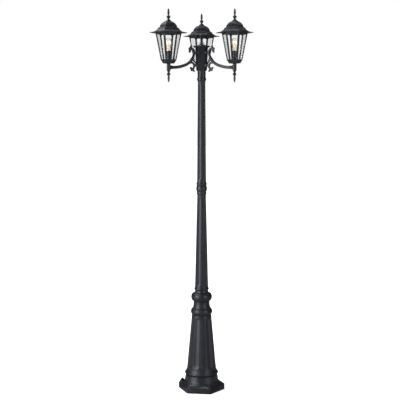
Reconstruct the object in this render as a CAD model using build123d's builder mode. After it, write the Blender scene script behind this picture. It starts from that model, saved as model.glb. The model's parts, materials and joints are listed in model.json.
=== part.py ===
from build123d import *
from math import asin, atan2, cos, degrees, radians, sin, sqrt
import os

# Triple head garden lamp post, in millimetres. It stands on z = 0 with its shaft on the Z axis.
# +X is to the right and +Y points to the back lantern. Heights are z values, r is a radius about
# the shaft, and a lantern's own radii are measured about the lantern's axis.

# Heads: name, direction of the arm, and how far the lantern's corners are turned (degrees)
heads = [("right", -30, -13), ("back", 90, 0), ("left", 210, 13)]
lantern_reach = 213.0  # from the shaft's axis to a lantern's axis
post_turn = -7.7  # the foot, pedestal and shafts stand turned by this much

# Foot
foot_corner_r = 136.4
foot_rim_h = 33.0
deck_z = 44.0
deck_corner_r = 116.0
drum_z = 88.0
drum_r = (99.0, 92.7)  # at the deck and at the top
rim_edge_r = 5.0
drum_skirt_r, drum_skirt_h = 104.0, 8.0  # the flare where the drum meets the deck
foot_wall, drum_wall = 7.0, 8.0
anchor_pcd = 230.0
anchor_hole_r = 6.5
anchor_boss_r = 16.0
anchor_turn = post_turn + 60  # the first of three, 120 degrees apart
anchor_seat_z, anchor_seat_r = 41.0, 12.8

# Anchor fasteners (M12)
washer_r, washer_t = 12.0, 2.5
nut_across_flats, nut_h = 19.0, 10.0
anchor_thread_r = 6.0

# Pedestal, from the foot to the collar
groove_r, groove_h = 89.5, 5.0
ring_r, ring_z, ring_top_z = 97.5, 98.5, 122.0
pedestal_z = (124.0, 442.0)
pedestal_r = (84.7, 56.4)
pedestal_wall = 8.5

# Collar above the pedestal
collar_ring_r, collar_ring_z = 63.2, 465.0
collar_neck_r = (50.2, 46.6)
bulb_ring_r, bulb_ring_z = 60.8, 551.0
small_ring_r, small_ring_z = 42.7, 598.0
collar_top_z = 608.0

# Shafts
lower_shaft_z = (608.0, 1141.0)
lower_shaft_r = (38.0, 24.5)
upper_shaft_z = (1227.0, 1790.0)
upper_shaft_r = (25.6, 20.6)
lower_wall, upper_wall = 5.5, 4.4
flute_count = 12
flute_depth = 0.06  # share of the shaft's radius
flute_half_angle = 13.3
flute_margin = 9.0  # plain band at each end of a shaft

# Couplings hidden in the shafts
lower_coupling_r, lower_coupling_reach = 30.0, 42.0
mid_coupling_r, mid_coupling_reach = 17.0, 40.0
coupling_wall = 4.0

# Mid collar
mid_beads = [(28.3, 1157.0), (31.4, 1184.0), (30.2, 1214.0)]
mid_waists = [(24.6, 1146.0), (27.0, 1168.0), (27.0, 1201.0), (25.8, 1221.0)]

# Neck under the hub
neck_ring_r, neck_ring_z = 26.2, 1811.0
neck_r, neck_wall = 23.2, 4.0
neck_top_z = 1880.0
neck_spigot_r = 15.0

# Hub and its lid
hub_z = (1858.0, 1991.0)
hub_corner_r = (31.2, 36.1)
hub_foot_h = 8.0  # drafted foot of the hub, down to the neck's width
hub_floor = 8.0
hub_cavity_apothem = 24.0
cap_r, cap_t, cap_dome = 47.5, 8.5, 4.5
stud_r = 3.0
bridge_z, bridge_w, bridge_t = 1968.0, 16.0, 3.0
finial_neck_r, finial_ball_r, finial_ball_z = 7.5, 14.0, 2052.0
block_size = (30.0, 18.0, 14.0)
block_z = 1925.0

# Arms: each is drawn in its own upright plane, with x as the distance from the shaft's axis
arm_rod_r = [(0.0, 4.4), (0.18, 5.6), (0.45, 6.8), (0.7, 7.5), (1.0, 7.5)]  # share of the length, radius
arm_bow_centre = (137.9, 1974.7)
arm_bow_r = 90.6
arm_bow_end = 249.1  # degrees round the bow where it runs into the long sweep
arm_sweep_r = 228.0
curl_r = 22.0
scroll_rod_r = 5.0
scroll_centre = (67.5, 1885.5)
scroll_r = 18.8
leaf_t = 8.5
upper_leaf_hub, upper_leaf_tips = (71.5, 1982.0), [(66.0, 2002.5), (86.0, 1980.5), (80.5, 1957.5)]
lower_leaf_hub, lower_leaf_tips = (62.0, 1866.5), [(76.5, 1878.0), (69.5, 1857.0), (44.5, 1853.5)]
leaf_w = (12.5, 10.0)
leaf_heart_r = (8.0, 6.0)
spur_root, spur_tip, spur_w = (66.0, 1921.0), (40.0, 1907.0), 6.0
knot_r = 7.5  # where the scroll and the spur leave the bow
lug_z = (1889.0, 1959.0)
lug_w, lug_h, lug_face_r = 28.0, 15.0, 36.0
lug_neck_w, lug_neck_h, lug_neck_reach = 12.0, 11.0, 50.5
socket_z = (1857.0, 1896.0)
socket_r = 11.0
socket_flare = (15.0, 10.5)  # length and radius where the rod meets the socket
screw_r, screw_head_r, screw_head_h, screw_reach = 3.0, 5.0, 3.0, 41.0

# Lantern: stem, cup and nut
stem_r, stem_bore_r = 5.0, 3.6
stem_z = (1840.0, 1909.0)
stem_clearance = 0.08
cup_z = (1896.0, 1916.0)
cup_corner_r = (32.4, 45.0)
cup_floor, cup_wall = 3.5, 3.0
lock_nut_af, lock_nut_h = 16.0, 5.0

# Lantern: cage and panes
cage_top_z = 2065.0
cage_corner_r = (45.0, 74.5)
cage_wall = 4.0
cage_bar_w = 12.0
cage_head_h, cage_sill_h = 8.0, 2.0
cage_arch_r = 7.0
pane_t, pane_gap, pane_lift, pane_h = 2.0, 6.0, 0.5, 144.0

# Lantern: lampholder, sleeve and lamp
sleeve_r, sleeve_wall, sleeve_top_z = 13.0, 1.3, 1966.0
holder_r, holder_top_z, holder_z = 11.0, 1964.0, 1904.5
bulb_cap_r, bulb_cap_z = 6.9, (1940.0, 1967.0)
bulb_clearance = 0.3
bulb_r, bulb_wide_z, bulb_top_z = 19.0, 2013.0, 2035.0
bulb_neck_r, bulb_wall = 8.6, 1.0

# Lantern: roof and finials
brim_corner_r, brim_t = 107.0, 3.5
shoulder = [(54.0, 2086.5), (52.0, 2092.0), (43.5, 2096.5)]
dome_mid, dome_end = (37.5, 2112.5), (23.0, 2126.0)
ogee_mid, ogee_end = (14.0, 2131.0), (8.7, 2138.0)
brim_flare_mid = (66.0, 2075.2)
attic = [(58.0, 2065.0), (58.0, 2073.0), (53.5, 2078.5), (51.0, 2087.0), (49.0, 2089.6)]
attic += [(40.5, 2094.1), (34.5, 2111.3), (20.9, 2123.0)]  # hollow of the roof, from the cage up
roof_knob_r, roof_knob_z = 10.8, 2154.0
spear_tip_z = 2200.0
lower_knob_r, lower_knob_z = 10.6, 1836.8
lower_tip_z = 1790.5

os.makedirs("parts", exist_ok=True)
flat = cos(radians(30))  # a hexagon's apothem for a corner radius of one
upward = (Align.CENTER, Align.CENTER, Align.MIN)


def radius_at(z, heights, radii):
    """Radius of a straight taper at height z."""
    share = (z - heights[0]) / (heights[1] - heights[0])
    return radii[0] + share * (radii[1] - radii[0])


def taper_angle(low_r, high_r, height):
    """Extrusion taper, positive when the form narrows upwards."""
    return degrees(atan2(low_r - high_r, height))


def flute_cutter(heights, radii):
    """Long tapering capsule that cuts one round-ended flute down the +X side of a shaft."""
    floor_r = 1 - flute_depth
    edge = cos(radians(flute_half_angle))
    bow = (1 + floor_r**2 - 2 * floor_r * edge) / (2 * (edge - floor_r))
    run_out = sqrt(2 * bow * flute_depth)
    low_z = heights[0] + flute_margin + run_out * radii[0]
    high_z = heights[1] - flute_margin - run_out * radii[1]
    low_r, high_r = radius_at(low_z, heights, radii), radius_at(high_z, heights, radii)
    low = Vector((floor_r + bow) * low_r, 0, low_z)
    high = Vector((floor_r + bow) * high_r, 0, high_z)
    length = (high - low).length
    lean = degrees(asin(bow * (low_r - high_r) / length))
    along = Plane(origin=low, x_dir=high - low, z_dir=(0, 1, 0))
    with BuildPart() as cutter:
        with BuildSketch(along):
            with BuildLine():
                low_end = CenterArc((0, 0), bow * low_r, 90 - lean, 90 + lean)
                high_end = CenterArc((length, 0), bow * high_r, 0, 90 - lean)
                Line(low_end @ 0, high_end @ 1)
                Line(low_end @ 1, high_end @ 0)
            make_face()
        revolve(axis=Axis(low, high - low))
    return cutter.part


def export(piece, name):
    """Label a finished piece and write it as parts/NAME.step."""
    piece.part.label = name
    export_step(piece.part, f"parts/{name}.step")


# ---------------------------------------------------------------------------------------- foot

with BuildPart() as foot:
    with BuildSketch(Plane.XY):
        RegularPolygon(foot_corner_r, 6, rotation=post_turn)
    extrude(amount=foot_rim_h)
    fillet(foot.edges().filter_by(Axis.Z), radius=rim_edge_r)
    with BuildSketch(Plane.XY.offset(foot_rim_h)):
        RegularPolygon(foot_corner_r, 6, rotation=post_turn)
        fillet(vertices(), radius=rim_edge_r)
    deck_rise = deck_z - foot_rim_h
    extrude(amount=deck_rise, taper=taper_angle(foot_corner_r * flat, deck_corner_r * flat, deck_rise))
    # drum, with a flare where it meets the deck
    flare_top = (drum_r[0], deck_z + drum_skirt_h)
    flare_foot = (drum_skirt_r, deck_z - 1)
    with BuildSketch(Plane.XZ):
        with BuildLine():
            Polyline(
                flare_top,
                (drum_r[1], drum_z),
                (0, drum_z),
                (0, foot_rim_h - foot_wall),
                (drum_skirt_r, foot_rim_h - foot_wall),
                flare_foot,
            )
            RadiusArc(flare_foot, flare_top, -11)
        make_face()
    revolve()
    # hollow underside, open through the drum for the supply cable
    with BuildSketch(Plane.XY):
        RegularPolygon(foot_corner_r - foot_wall, 6, rotation=post_turn)
    extrude(amount=foot_rim_h - foot_wall, mode=Mode.SUBTRACT)
    with BuildSketch(Plane.XZ):
        with BuildLine():
            Polyline(
                (0, 0),
                (drum_r[0] - drum_wall, 0),
                (drum_r[0] - drum_wall, deck_z - 4),
                (drum_r[1] - drum_wall, drum_z),
                (0, drum_z),
                close=True,
            )
        make_face()
    revolve(mode=Mode.SUBTRACT)
    # anchor bosses at alternate corners
    with BuildSketch(Plane.XY):
        with PolarLocations(anchor_pcd / 2, 3, start_angle=anchor_turn):
            Circle(anchor_boss_r)
    extrude(amount=anchor_seat_z)
    with BuildSketch(Plane.XY):
        with PolarLocations(anchor_pcd / 2, 3, start_angle=anchor_turn):
            Circle(anchor_hole_r)
    extrude(amount=anchor_seat_z, mode=Mode.SUBTRACT)
    # spot faces that seat the washers
    with BuildSketch(Plane.XY.offset(anchor_seat_z)):
        with PolarLocations(anchor_pcd / 2, 3, start_angle=anchor_turn):
            Circle(anchor_seat_r)
    extrude(amount=drum_z - anchor_seat_z, mode=Mode.SUBTRACT)
export(foot, "foot")

with BuildPart() as anchor_washers:
    with BuildSketch(Plane.XY.offset(anchor_seat_z)):
        with PolarLocations(anchor_pcd / 2, 3, start_angle=anchor_turn):
            Circle(washer_r)
            Circle(anchor_hole_r, mode=Mode.SUBTRACT)
    extrude(amount=washer_t)
export(anchor_washers, "anchor_washers")

with BuildPart() as anchor_nuts:
    with BuildSketch(Plane.XY.offset(anchor_seat_z + washer_t)):
        with PolarLocations(anchor_pcd / 2, 3, start_angle=anchor_turn):
            RegularPolygon(nut_across_flats / 2, 6, major_radius=False)
            Circle(anchor_thread_r, mode=Mode.SUBTRACT)
    extrude(amount=nut_h)
export(anchor_nuts, "anchor_nuts")

# ------------------------------------------------------------------------------------ pedestal

with BuildPart() as pedestal:
    with BuildSketch(Plane.XZ):
        with BuildLine():
            Polyline((groove_r, drum_z), (groove_r, drum_z + groove_h), (ring_r - 4, drum_z + groove_h))
            ThreePointArc(
                (ring_r - 4, drum_z + groove_h),
                (ring_r, ring_z),
                (ring_r - 4, ring_z + 9),
            )
            ThreePointArc(
                (ring_r - 4, ring_z + 9),
                (ring_r - 8.5, ring_top_z - 6),
                (pedestal_r[0] + 0.6, ring_top_z),
            )
            Polyline(
                (pedestal_r[0] + 0.6, ring_top_z),
                (pedestal_r[0], pedestal_z[0]),
                (pedestal_r[1], pedestal_z[1]),
                (pedestal_r[1] - pedestal_wall, pedestal_z[1]),
                (pedestal_r[0] - pedestal_wall, pedestal_z[0]),
                (drum_r[1] - 12, drum_z),
                (groove_r, drum_z),
            )
        make_face()
    revolve()
    with PolarLocations(0, flute_count, start_angle=post_turn + 15):
        add(flute_cutter(pedestal_z, pedestal_r), mode=Mode.SUBTRACT)
export(pedestal, "pedestal")

# ------------------------------------------------------------------------------ pedestal collar

with BuildPart() as pedestal_collar:
    base_z = pedestal_z[1]
    with BuildSketch(Plane.XZ):
        with BuildLine():
            Polyline((pedestal_r[1] - 1, base_z), (pedestal_r[1] - 1, base_z + 3))
            ThreePointArc(
                (pedestal_r[1] - 1, base_z + 3),
                (collar_ring_r, collar_ring_z),
                (collar_neck_r[0] + 0.6, collar_ring_z + 21),
            )
            ThreePointArc(
                (collar_neck_r[0] + 0.6, collar_ring_z + 21),
                (collar_neck_r[0] - 2.6, collar_ring_z + 36),
                (collar_neck_r[1], bulb_ring_z - 28),
            )
            Spline(
                (collar_neck_r[1], bulb_ring_z - 28),
                (bulb_ring_r - 4, bulb_ring_z - 17),
                (bulb_ring_r, bulb_ring_z),
                (bulb_ring_r - 5, bulb_ring_z + 17),
                (lower_shaft_r[0] + 2.5, bulb_ring_z + 26.5),
            )
            Polyline(
                (lower_shaft_r[0] + 2.5, bulb_ring_z + 26.5),
                (lower_shaft_r[0] + 0.4, bulb_ring_z + 31),
                (lower_shaft_r[0] + 0.6, small_ring_z - 8),
            )
            ThreePointArc(
                (lower_shaft_r[0] + 0.6, small_ring_z - 8),
                (small_ring_r, small_ring_z),
                (lower_shaft_r[0] + 0.6, small_ring_z + 8),
            )
            Polyline(
                (lower_shaft_r[0] + 0.6, small_ring_z + 8),
                (lower_shaft_r[0] + 0.4, collar_top_z),
                (lower_coupling_r, collar_top_z),
                (lower_coupling_r, collar_top_z - lower_coupling_reach),
                (collar_neck_r[1] - 9, bulb_ring_z - 40),
                (collar_neck_r[1] - 9, base_z - 18),
                (pedestal_r[1] - pedestal_wall - 0.5, base_z - 18),
                (pedestal_r[1] - pedestal_wall - 0.5, base_z),
                (pedestal_r[1] - 1, base_z),
            )
        make_face()
    revolve()
export(pedestal_collar, "pedestal_collar")

with BuildPart() as lower_coupling:
    with BuildSketch(Plane.XY.offset(collar_top_z - lower_coupling_reach)):
        Circle(lower_coupling_r)
        Circle(lower_coupling_r - coupling_wall, mode=Mode.SUBTRACT)
    extrude(amount=2 * lower_coupling_reach)
export(lower_coupling, "lower_coupling")

# -------------------------------------------------------------------------------------- shafts

lower_socket_z = collar_top_z + lower_coupling_reach
lower_top_z = lower_shaft_z[1] - mid_coupling_reach
with BuildPart() as lower_shaft:
    with BuildSketch(Plane.XZ):
        with BuildLine():
            Polyline(
                (lower_shaft_r[0], lower_shaft_z[0]),
                (lower_shaft_r[1], lower_shaft_z[1]),
                (mid_coupling_r, lower_shaft_z[1]),
                (mid_coupling_r, lower_top_z),
                (radius_at(lower_top_z, lower_shaft_z, lower_shaft_r) - lower_wall, lower_top_z),
                (radius_at(lower_socket_z, lower_shaft_z, lower_shaft_r) - lower_wall, lower_socket_z),
                (lower_coupling_r, lower_socket_z),
                (lower_coupling_r, lower_shaft_z[0]),
                close=True,
            )
        make_face()
    revolve()
    with PolarLocations(0, flute_count, start_angle=post_turn + 15):
        add(flute_cutter(lower_shaft_z, lower_shaft_r), mode=Mode.SUBTRACT)
export(lower_shaft, "lower_shaft")

with BuildPart() as mid_coupling:
    with BuildSketch(Plane.XY.offset(lower_top_z)):
        Circle(mid_coupling_r)
        Circle(mid_coupling_r - coupling_wall, mode=Mode.SUBTRACT)
    extrude(amount=upper_shaft_z[0] + mid_coupling_reach - lower_top_z)
export(mid_coupling, "mid_coupling")

with BuildPart() as mid_collar:
    with BuildSketch(Plane.XZ):
        with BuildLine():
            Line((lower_shaft_r[1] + 0.2, lower_shaft_z[1]), mid_waists[0])
            for bead, below, above in zip(mid_beads, mid_waists, mid_waists[1:]):
                Spline(below, bead, above)
            Polyline(
                mid_waists[-1],
                (upper_shaft_r[0] + 0.2, upper_shaft_z[0]),
                (mid_coupling_r, upper_shaft_z[0]),
                (mid_coupling_r, lower_shaft_z[1]),
                (lower_shaft_r[1] + 0.2, lower_shaft_z[1]),
            )
        make_face()
    revolve()
export(mid_collar, "mid_collar")

upper_socket_z = upper_shaft_z[0] + mid_coupling_reach
upper_top_z = upper_shaft_z[1] - 30
with BuildPart() as upper_shaft:
    with BuildSketch(Plane.XZ):
        with BuildLine():
            Polyline(
                (upper_shaft_r[0], upper_shaft_z[0]),
                (upper_shaft_r[1], upper_shaft_z[1]),
                (neck_spigot_r, upper_shaft_z[1]),
                (neck_spigot_r, upper_top_z),
                (radius_at(upper_top_z, upper_shaft_z, upper_shaft_r) - upper_wall, upper_top_z),
                (radius_at(upper_socket_z, upper_shaft_z, upper_shaft_r) - upper_wall, upper_socket_z),
                (mid_coupling_r, upper_socket_z),
                (mid_coupling_r, upper_shaft_z[0]),
                close=True,
            )
        make_face()
    revolve()
    with PolarLocations(0, flute_count, start_angle=post_turn + 15):
        add(flute_cutter(upper_shaft_z, upper_shaft_r), mode=Mode.SUBTRACT)
export(upper_shaft, "upper_shaft")

# ---------------------------------------------------------------------------------- neck and hub

with BuildPart() as shaft_neck:
    with BuildSketch(Plane.XZ):
        with BuildLine():
            Polyline((upper_shaft_r[1] + 0.2, upper_shaft_z[1]), (upper_shaft_r[1] + 1, neck_ring_z - 12))
            Spline(
                (upper_shaft_r[1] + 1, neck_ring_z - 12),
                (neck_ring_r, neck_ring_z),
                (neck_r, neck_ring_z + 9),
            )
            Polyline(
                (neck_r, neck_ring_z + 9),
                (neck_r, neck_top_z),
                (neck_r - neck_wall, neck_top_z),
                (neck_r - neck_wall, neck_ring_z),
                (neck_spigot_r - neck_wall, upper_shaft_z[1]),
                (neck_spigot_r - neck_wall, upper_top_z + 2),
                (neck_spigot_r, upper_top_z + 2),
                (neck_spigot_r, upper_shaft_z[1]),
                (upper_shaft_r[1] + 0.2, upper_shaft_z[1]),
            )
        make_face()
    revolve()
export(shaft_neck, "shaft_neck")

hub_h = hub_z[1] - hub_z[0]
hub_taper = taper_angle(hub_corner_r[0] * flat, hub_corner_r[1] * flat, hub_h)
foot_top_r = radius_at(hub_z[0] + hub_foot_h, hub_z, hub_corner_r)
with BuildPart() as hub_body:
    with BuildSketch(Plane.XY.offset(hub_z[0] + hub_foot_h)):
        RegularPolygon(foot_top_r, 6)
    extrude(amount=hub_h - hub_foot_h, taper=hub_taper)
    with BuildSketch(Plane.XY.offset(hub_z[0] + hub_foot_h)):
        RegularPolygon(foot_top_r, 6)
    extrude(amount=-hub_foot_h, taper=taper_angle(foot_top_r * flat, neck_r + 0.6, hub_foot_h))

with BuildPart() as hub:
    add(hub_body.part)
    with BuildSketch(Plane.XY.offset(hub_z[0] + hub_floor)):
        RegularPolygon(hub_cavity_apothem, 6, major_radius=False)
    extrude(amount=hub_h, mode=Mode.SUBTRACT)
    with BuildSketch(Plane.XY.offset(hub_z[0])):
        Circle(neck_r)
    extrude(amount=neck_top_z - hub_z[0], mode=Mode.SUBTRACT)
    for arm_angle in [angle for _, angle, _ in heads]:
        for z in lug_z:
            with Locations(Rotation(0, 0, arm_angle) * Location((0, 0, z), (0, 90, 0))):
                Cylinder(screw_r, lug_face_r, align=upward, mode=Mode.SUBTRACT)
export(hub, "hub")

with BuildPart() as hub_bridge:
    with BuildSketch(Plane.XY.offset(bridge_z)):
        Rectangle(bridge_w, 2 * hub_cavity_apothem - 0.4)
        Circle(stud_r, mode=Mode.SUBTRACT)
    extrude(amount=bridge_t)
export(hub_bridge, "hub_bridge")

with BuildPart() as terminal_block:
    with BuildSketch(Plane.XY.offset(block_z)):
        Rectangle(block_size[0], block_size[2])
    extrude(amount=block_size[1])
    with BuildSketch(Plane.XY.offset(block_z)):
        with GridLocations(block_size[0] / 3, 0, 3, 1):
            Circle(2.4)
    extrude(amount=block_size[1], mode=Mode.SUBTRACT)
export(terminal_block, "terminal_block")

cap_top_z = hub_z[1] + cap_t + cap_dome
with BuildPart() as hub_cap:
    with BuildSketch(Plane.XZ):
        with BuildLine():
            Polyline(
                (stud_r, hub_z[1] - 5),
                (hub_cavity_apothem - 0.6, hub_z[1] - 5),
                (hub_cavity_apothem - 0.6, hub_z[1]),
                (cap_r - 3, hub_z[1]),
            )
            ThreePointArc(
                (cap_r - 3, hub_z[1]),
                (cap_r, hub_z[1] + cap_t / 2),
                (cap_r - 3, hub_z[1] + cap_t),
            )
            Spline(
                (cap_r - 3, hub_z[1] + cap_t),
                (cap_r / 2, cap_top_z - 1.2),
                (stud_r, cap_top_z),
            )
            Line((stud_r, cap_top_z), (stud_r, hub_z[1] - 5))
        make_face()
    revolve()
export(hub_cap, "hub_cap")

with BuildPart() as cap_stud:
    with BuildSketch(Plane.XY.offset(bridge_z - 3)):
        Circle(stud_r)
    extrude(amount=finial_ball_z - bridge_z)
export(cap_stud, "cap_stud")

with BuildPart() as cap_finial:
    with BuildSketch(Plane.XZ):
        with BuildLine():
            Polyline(
                (stud_r, cap_top_z),
                (finial_ball_r - 0.5, cap_top_z),
                (finial_ball_r - 0.5, cap_top_z + 2),
            )
            ThreePointArc(
                (finial_ball_r - 0.5, cap_top_z + 2),
                (finial_neck_r + 1, cap_top_z + 9),
                (finial_neck_r, cap_top_z + 24),
            )
            ball_low = finial_ball_z - sqrt(finial_ball_r**2 - finial_neck_r**2)
            Line((finial_neck_r, cap_top_z + 24), (finial_neck_r, ball_low))
            ThreePointArc(
                (finial_neck_r, ball_low),
                (finial_ball_r, finial_ball_z),
                (0, finial_ball_z + finial_ball_r),
            )
            Polyline(
                (0, finial_ball_z + finial_ball_r),
                (0, finial_ball_z - 3),
                (stud_r, finial_ball_z - 3),
                (stud_r, cap_top_z),
            )
        make_face()
    revolve()
export(cap_finial, "cap_finial")

# ---------------------------------------------------------------------------------------- arms


def leaf(root, tips, width, heart_r):
    """Pointed lobes that spring from one round heart in the arm's plane."""
    with BuildSketch() as lobes:
        with Locations(root):
            Circle(heart_r)
        for tip in tips:
            middle = (Vector(*root) + Vector(*tip)) * 0.5
            aside = (Vector(*tip) - Vector(*root)).rotate(Axis.Z, 90).normalized() * (width / 2)
            with BuildLine():
                ThreePointArc(root, middle + aside, tip)
                ThreePointArc(tip, middle - aside, root)
            make_face()
    return lobes.sketch


def on_circle(centre, radius, angle):
    """Point of a circle, with the angle in degrees."""
    return (centre[0] + radius * cos(radians(angle)), centre[1] + radius * sin(radians(angle)))


curl_join = 190.9  # degrees round the bow where the curl takes over
curl_centre = on_circle(arm_bow_centre, arm_bow_r - curl_r, curl_join)
sweep_start = on_circle(arm_bow_centre, arm_bow_r, arm_bow_end)
sweep_centre = on_circle(arm_bow_centre, arm_bow_r - arm_sweep_r, arm_bow_end)
arm_low_z = sweep_centre[1] - arm_sweep_r

with BuildPart() as arm:
    with BuildLine(Plane.XZ) as spine:
        curl = CenterArc(curl_centre, curl_r, 85, curl_join - 85)
        bow = CenterArc(arm_bow_centre, arm_bow_r, curl_join, arm_bow_end - curl_join)
        long_sweep = CenterArc(sweep_centre, arm_sweep_r, arm_bow_end, 270 - arm_bow_end)
        Line(long_sweep @ 1, (lantern_reach - 2, arm_low_z))
    for share, rod_r in arm_rod_r:
        with BuildSketch(Plane(origin=spine.line @ share, z_dir=spine.line % share)):
            Circle(rod_r)
    sweep(path=spine.line, multisection=True)
    with BuildLine(Plane.XZ) as hook:
        CenterArc(scroll_centre, scroll_r, 68, 185)
    with BuildSketch(Plane(origin=hook.line @ 0, z_dir=hook.line % 0)):
        Circle(scroll_rod_r)
    sweep(path=hook.line)
    with BuildSketch(Plane.XZ):
        add(leaf(upper_leaf_hub, upper_leaf_tips, leaf_w[0], leaf_heart_r[0]))
        add(leaf(lower_leaf_hub, lower_leaf_tips, leaf_w[1], leaf_heart_r[1]))
        add(leaf(spur_root, [spur_tip], spur_w, knot_r))
    extrude(amount=leaf_t / 2, both=True)
    # lugs: a pad on the hub's face and a neck to the bow or the scroll
    outward = (Align.MIN, Align.CENTER, Align.CENTER)
    for z in lug_z:
        with Locations((0, 0, z)):
            Box(lug_face_r, lug_w, lug_h, align=outward)
            Box(lug_neck_reach, lug_neck_w, lug_neck_h, align=outward)
    # socket for the lantern's stem, with a flare on the rod
    with BuildSketch(Plane.XZ):
        with BuildLine():
            flare_x = lantern_reach - socket_flare[0] - socket_r / 2
            Polyline(
                (flare_x, arm_low_z),
                (flare_x, arm_low_z + arm_rod_r[-1][1] - 0.5),
                (lantern_reach, arm_low_z + socket_flare[1]),
                (lantern_reach, arm_low_z),
                close=True,
            )
        make_face()
    revolve(axis=Axis((0, 0, arm_low_z), (1, 0, 0)))
    with BuildSketch(Plane((lantern_reach, 0, socket_z[0]))):
        Circle(socket_r)
    extrude(amount=socket_z[1] - socket_z[0])
    with BuildSketch(Plane((lantern_reach, 0, socket_z[0]))):
        Circle(stem_r + stem_clearance)
    extrude(amount=socket_z[1] - socket_z[0], mode=Mode.SUBTRACT)
    # the pads seat on the hub's face, which stands at 30 degrees round the hub
    with Locations(Rotation(0, 0, 30)):
        add(hub_body.part, mode=Mode.SUBTRACT)
    with Locations((0, 0, hub_z[0])):
        Cylinder(hub_cavity_apothem, hub_h, align=upward, mode=Mode.SUBTRACT)
    for z in lug_z:
        with Locations(Location((0, 0, z), (0, 90, 0))):
            Cylinder(screw_r, screw_reach, align=upward, mode=Mode.SUBTRACT)

with BuildPart() as arm_screw:
    with Locations(Location((hub_cavity_apothem, 0, 0), (0, 90, 0))):
        Cylinder(screw_r, screw_reach - hub_cavity_apothem, align=upward)
    with Locations(Location((hub_cavity_apothem - screw_head_h, 0, 0), (0, 90, 0))):
        Cylinder(screw_head_r, screw_head_h, align=upward)

with BuildPart() as arm_screws:
    for z in lug_z:
        with Locations((0, 0, z)):
            with PolarLocations(0, 3, start_angle=heads[0][1]):
                add(arm_screw.part)
export(arm_screws, "arm_screws")

# ------------------------------------------------------- lantern pieces, about the lantern's axis

with BuildPart() as stem:
    with BuildSketch(Plane.XY.offset(stem_z[0])):
        Circle(stem_r)
        Circle(stem_bore_r, mode=Mode.SUBTRACT)
    extrude(amount=stem_z[1] - stem_z[0])

with BuildPart() as lower_finial:
    with BuildSketch(Plane.XZ):
        with BuildLine():
            Polyline((stem_r, socket_z[0]), (socket_r - 0.7, socket_z[0]))
            ThreePointArc((socket_r - 0.7, socket_z[0]), (7.6, socket_z[0] - 5), (5.9, socket_z[0] - 9))
            Line((5.9, socket_z[0] - 9), (6.2, lower_knob_z + 7))
            Spline((6.2, lower_knob_z + 7), (lower_knob_r, lower_knob_z), (4.6, lower_knob_z - 7.5))
            Spline(
                (4.6, lower_knob_z - 7.5),
                (5.1, lower_tip_z + 26),
                (4.6, lower_tip_z + 13),
                (1.9, lower_tip_z + 2),
            )
            Polyline(
                (1.9, lower_tip_z + 2),
                (0, lower_tip_z),
                (0, stem_z[0]),
                (stem_r, stem_z[0]),
                (stem_r, socket_z[0]),
            )
        make_face()
    revolve()

cup_h = cup_z[1] - cup_z[0]
cup_taper = taper_angle(cup_corner_r[0] * flat, cup_corner_r[1] * flat, cup_h)
with BuildPart() as cup:
    with BuildSketch(Plane.XY.offset(cup_z[0])):
        RegularPolygon(cup_corner_r[0], 6)
    extrude(amount=cup_h, taper=cup_taper)
    chamfer(cup.faces().sort_by(Axis.Z)[0].edges(), length=2)
    inner_r = radius_at(cup_z[0] + cup_floor, cup_z, cup_corner_r) - cup_wall / flat
    with BuildSketch(Plane.XY.offset(cup_z[0] + cup_floor)):
        RegularPolygon(inner_r, 6)
    extrude(amount=cup_h - cup_floor, taper=cup_taper, mode=Mode.SUBTRACT)
    with BuildSketch(Plane.XY.offset(cup_z[0])):
        Circle(stem_r)
    extrude(amount=cup_floor, mode=Mode.SUBTRACT)

with BuildPart() as lock_nut:
    with BuildSketch(Plane.XY.offset(cup_z[0] + cup_floor)):
        RegularPolygon(lock_nut_af / 2, 6, major_radius=False)
        Circle(stem_r, mode=Mode.SUBTRACT)
    extrude(amount=lock_nut_h)

cage_z = (cup_z[1], cage_top_z)
cage_h = cage_z[1] - cage_z[0]
cage_taper = taper_angle(cage_corner_r[0] * flat, cage_corner_r[1] * flat, cage_h)
with BuildPart() as cage:
    with BuildSketch(Plane.XY.offset(cage_z[0])):
        RegularPolygon(cage_corner_r[0], 6)
    extrude(amount=cage_h, taper=cage_taper)
    with BuildSketch(Plane.XY.offset(cage_z[0])):
        RegularPolygon(cage_corner_r[0] - cage_wall / flat, 6)
    extrude(amount=cage_h, taper=cage_taper, mode=Mode.SUBTRACT)
    # arched window through each side, which leaves the corner bars, the head ring and the sill
    sill_z, head_z = cage_z[0] + cage_sill_h, cage_z[1] - cage_head_h
    sill_w = radius_at(sill_z, cage_z, cage_corner_r) - cage_bar_w
    head_w = radius_at(head_z, cage_z, cage_corner_r) - cage_bar_w
    for angle in (30, 90, 150):
        through = Vector(cos(radians(angle)), sin(radians(angle)), 0)
        with BuildSketch(Plane(origin=(0, 0, 0), x_dir=Vector(0, 0, 1).cross(through), z_dir=through)):
            with BuildLine():
                Polyline(
                    (-sill_w / 2, sill_z),
                    (sill_w / 2, sill_z),
                    (head_w / 2, head_z),
                    (-head_w / 2, head_z),
                    close=True,
                )
            make_face()
            fillet(vertices().group_by(Axis.Z)[-1], radius=cage_arch_r)
        extrude(amount=cage_corner_r[1], both=True, mode=Mode.SUBTRACT)

with BuildPart() as panes:
    pane_foot_z = cage_z[0] + pane_lift
    pane_out = radius_at(pane_foot_z, cage_z, cage_corner_r) - cage_wall / flat
    with BuildSketch(Plane.XY.offset(pane_foot_z)):
        RegularPolygon(pane_out, 6)
    extrude(amount=pane_h, taper=cage_taper)
    with BuildSketch(Plane.XY.offset(pane_foot_z)):
        RegularPolygon(pane_out - pane_t / flat, 6)
    extrude(amount=pane_h, taper=cage_taper, mode=Mode.SUBTRACT)
    # slots at the corner bars part the glass into six panes
    for angle in (0, 60, 120):
        with Locations(Location((0, 0, cage_z[0]), (0, 0, angle))):
            Box(2 * cage_corner_r[1], pane_gap, cage_h, align=upward, mode=Mode.SUBTRACT)

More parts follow.
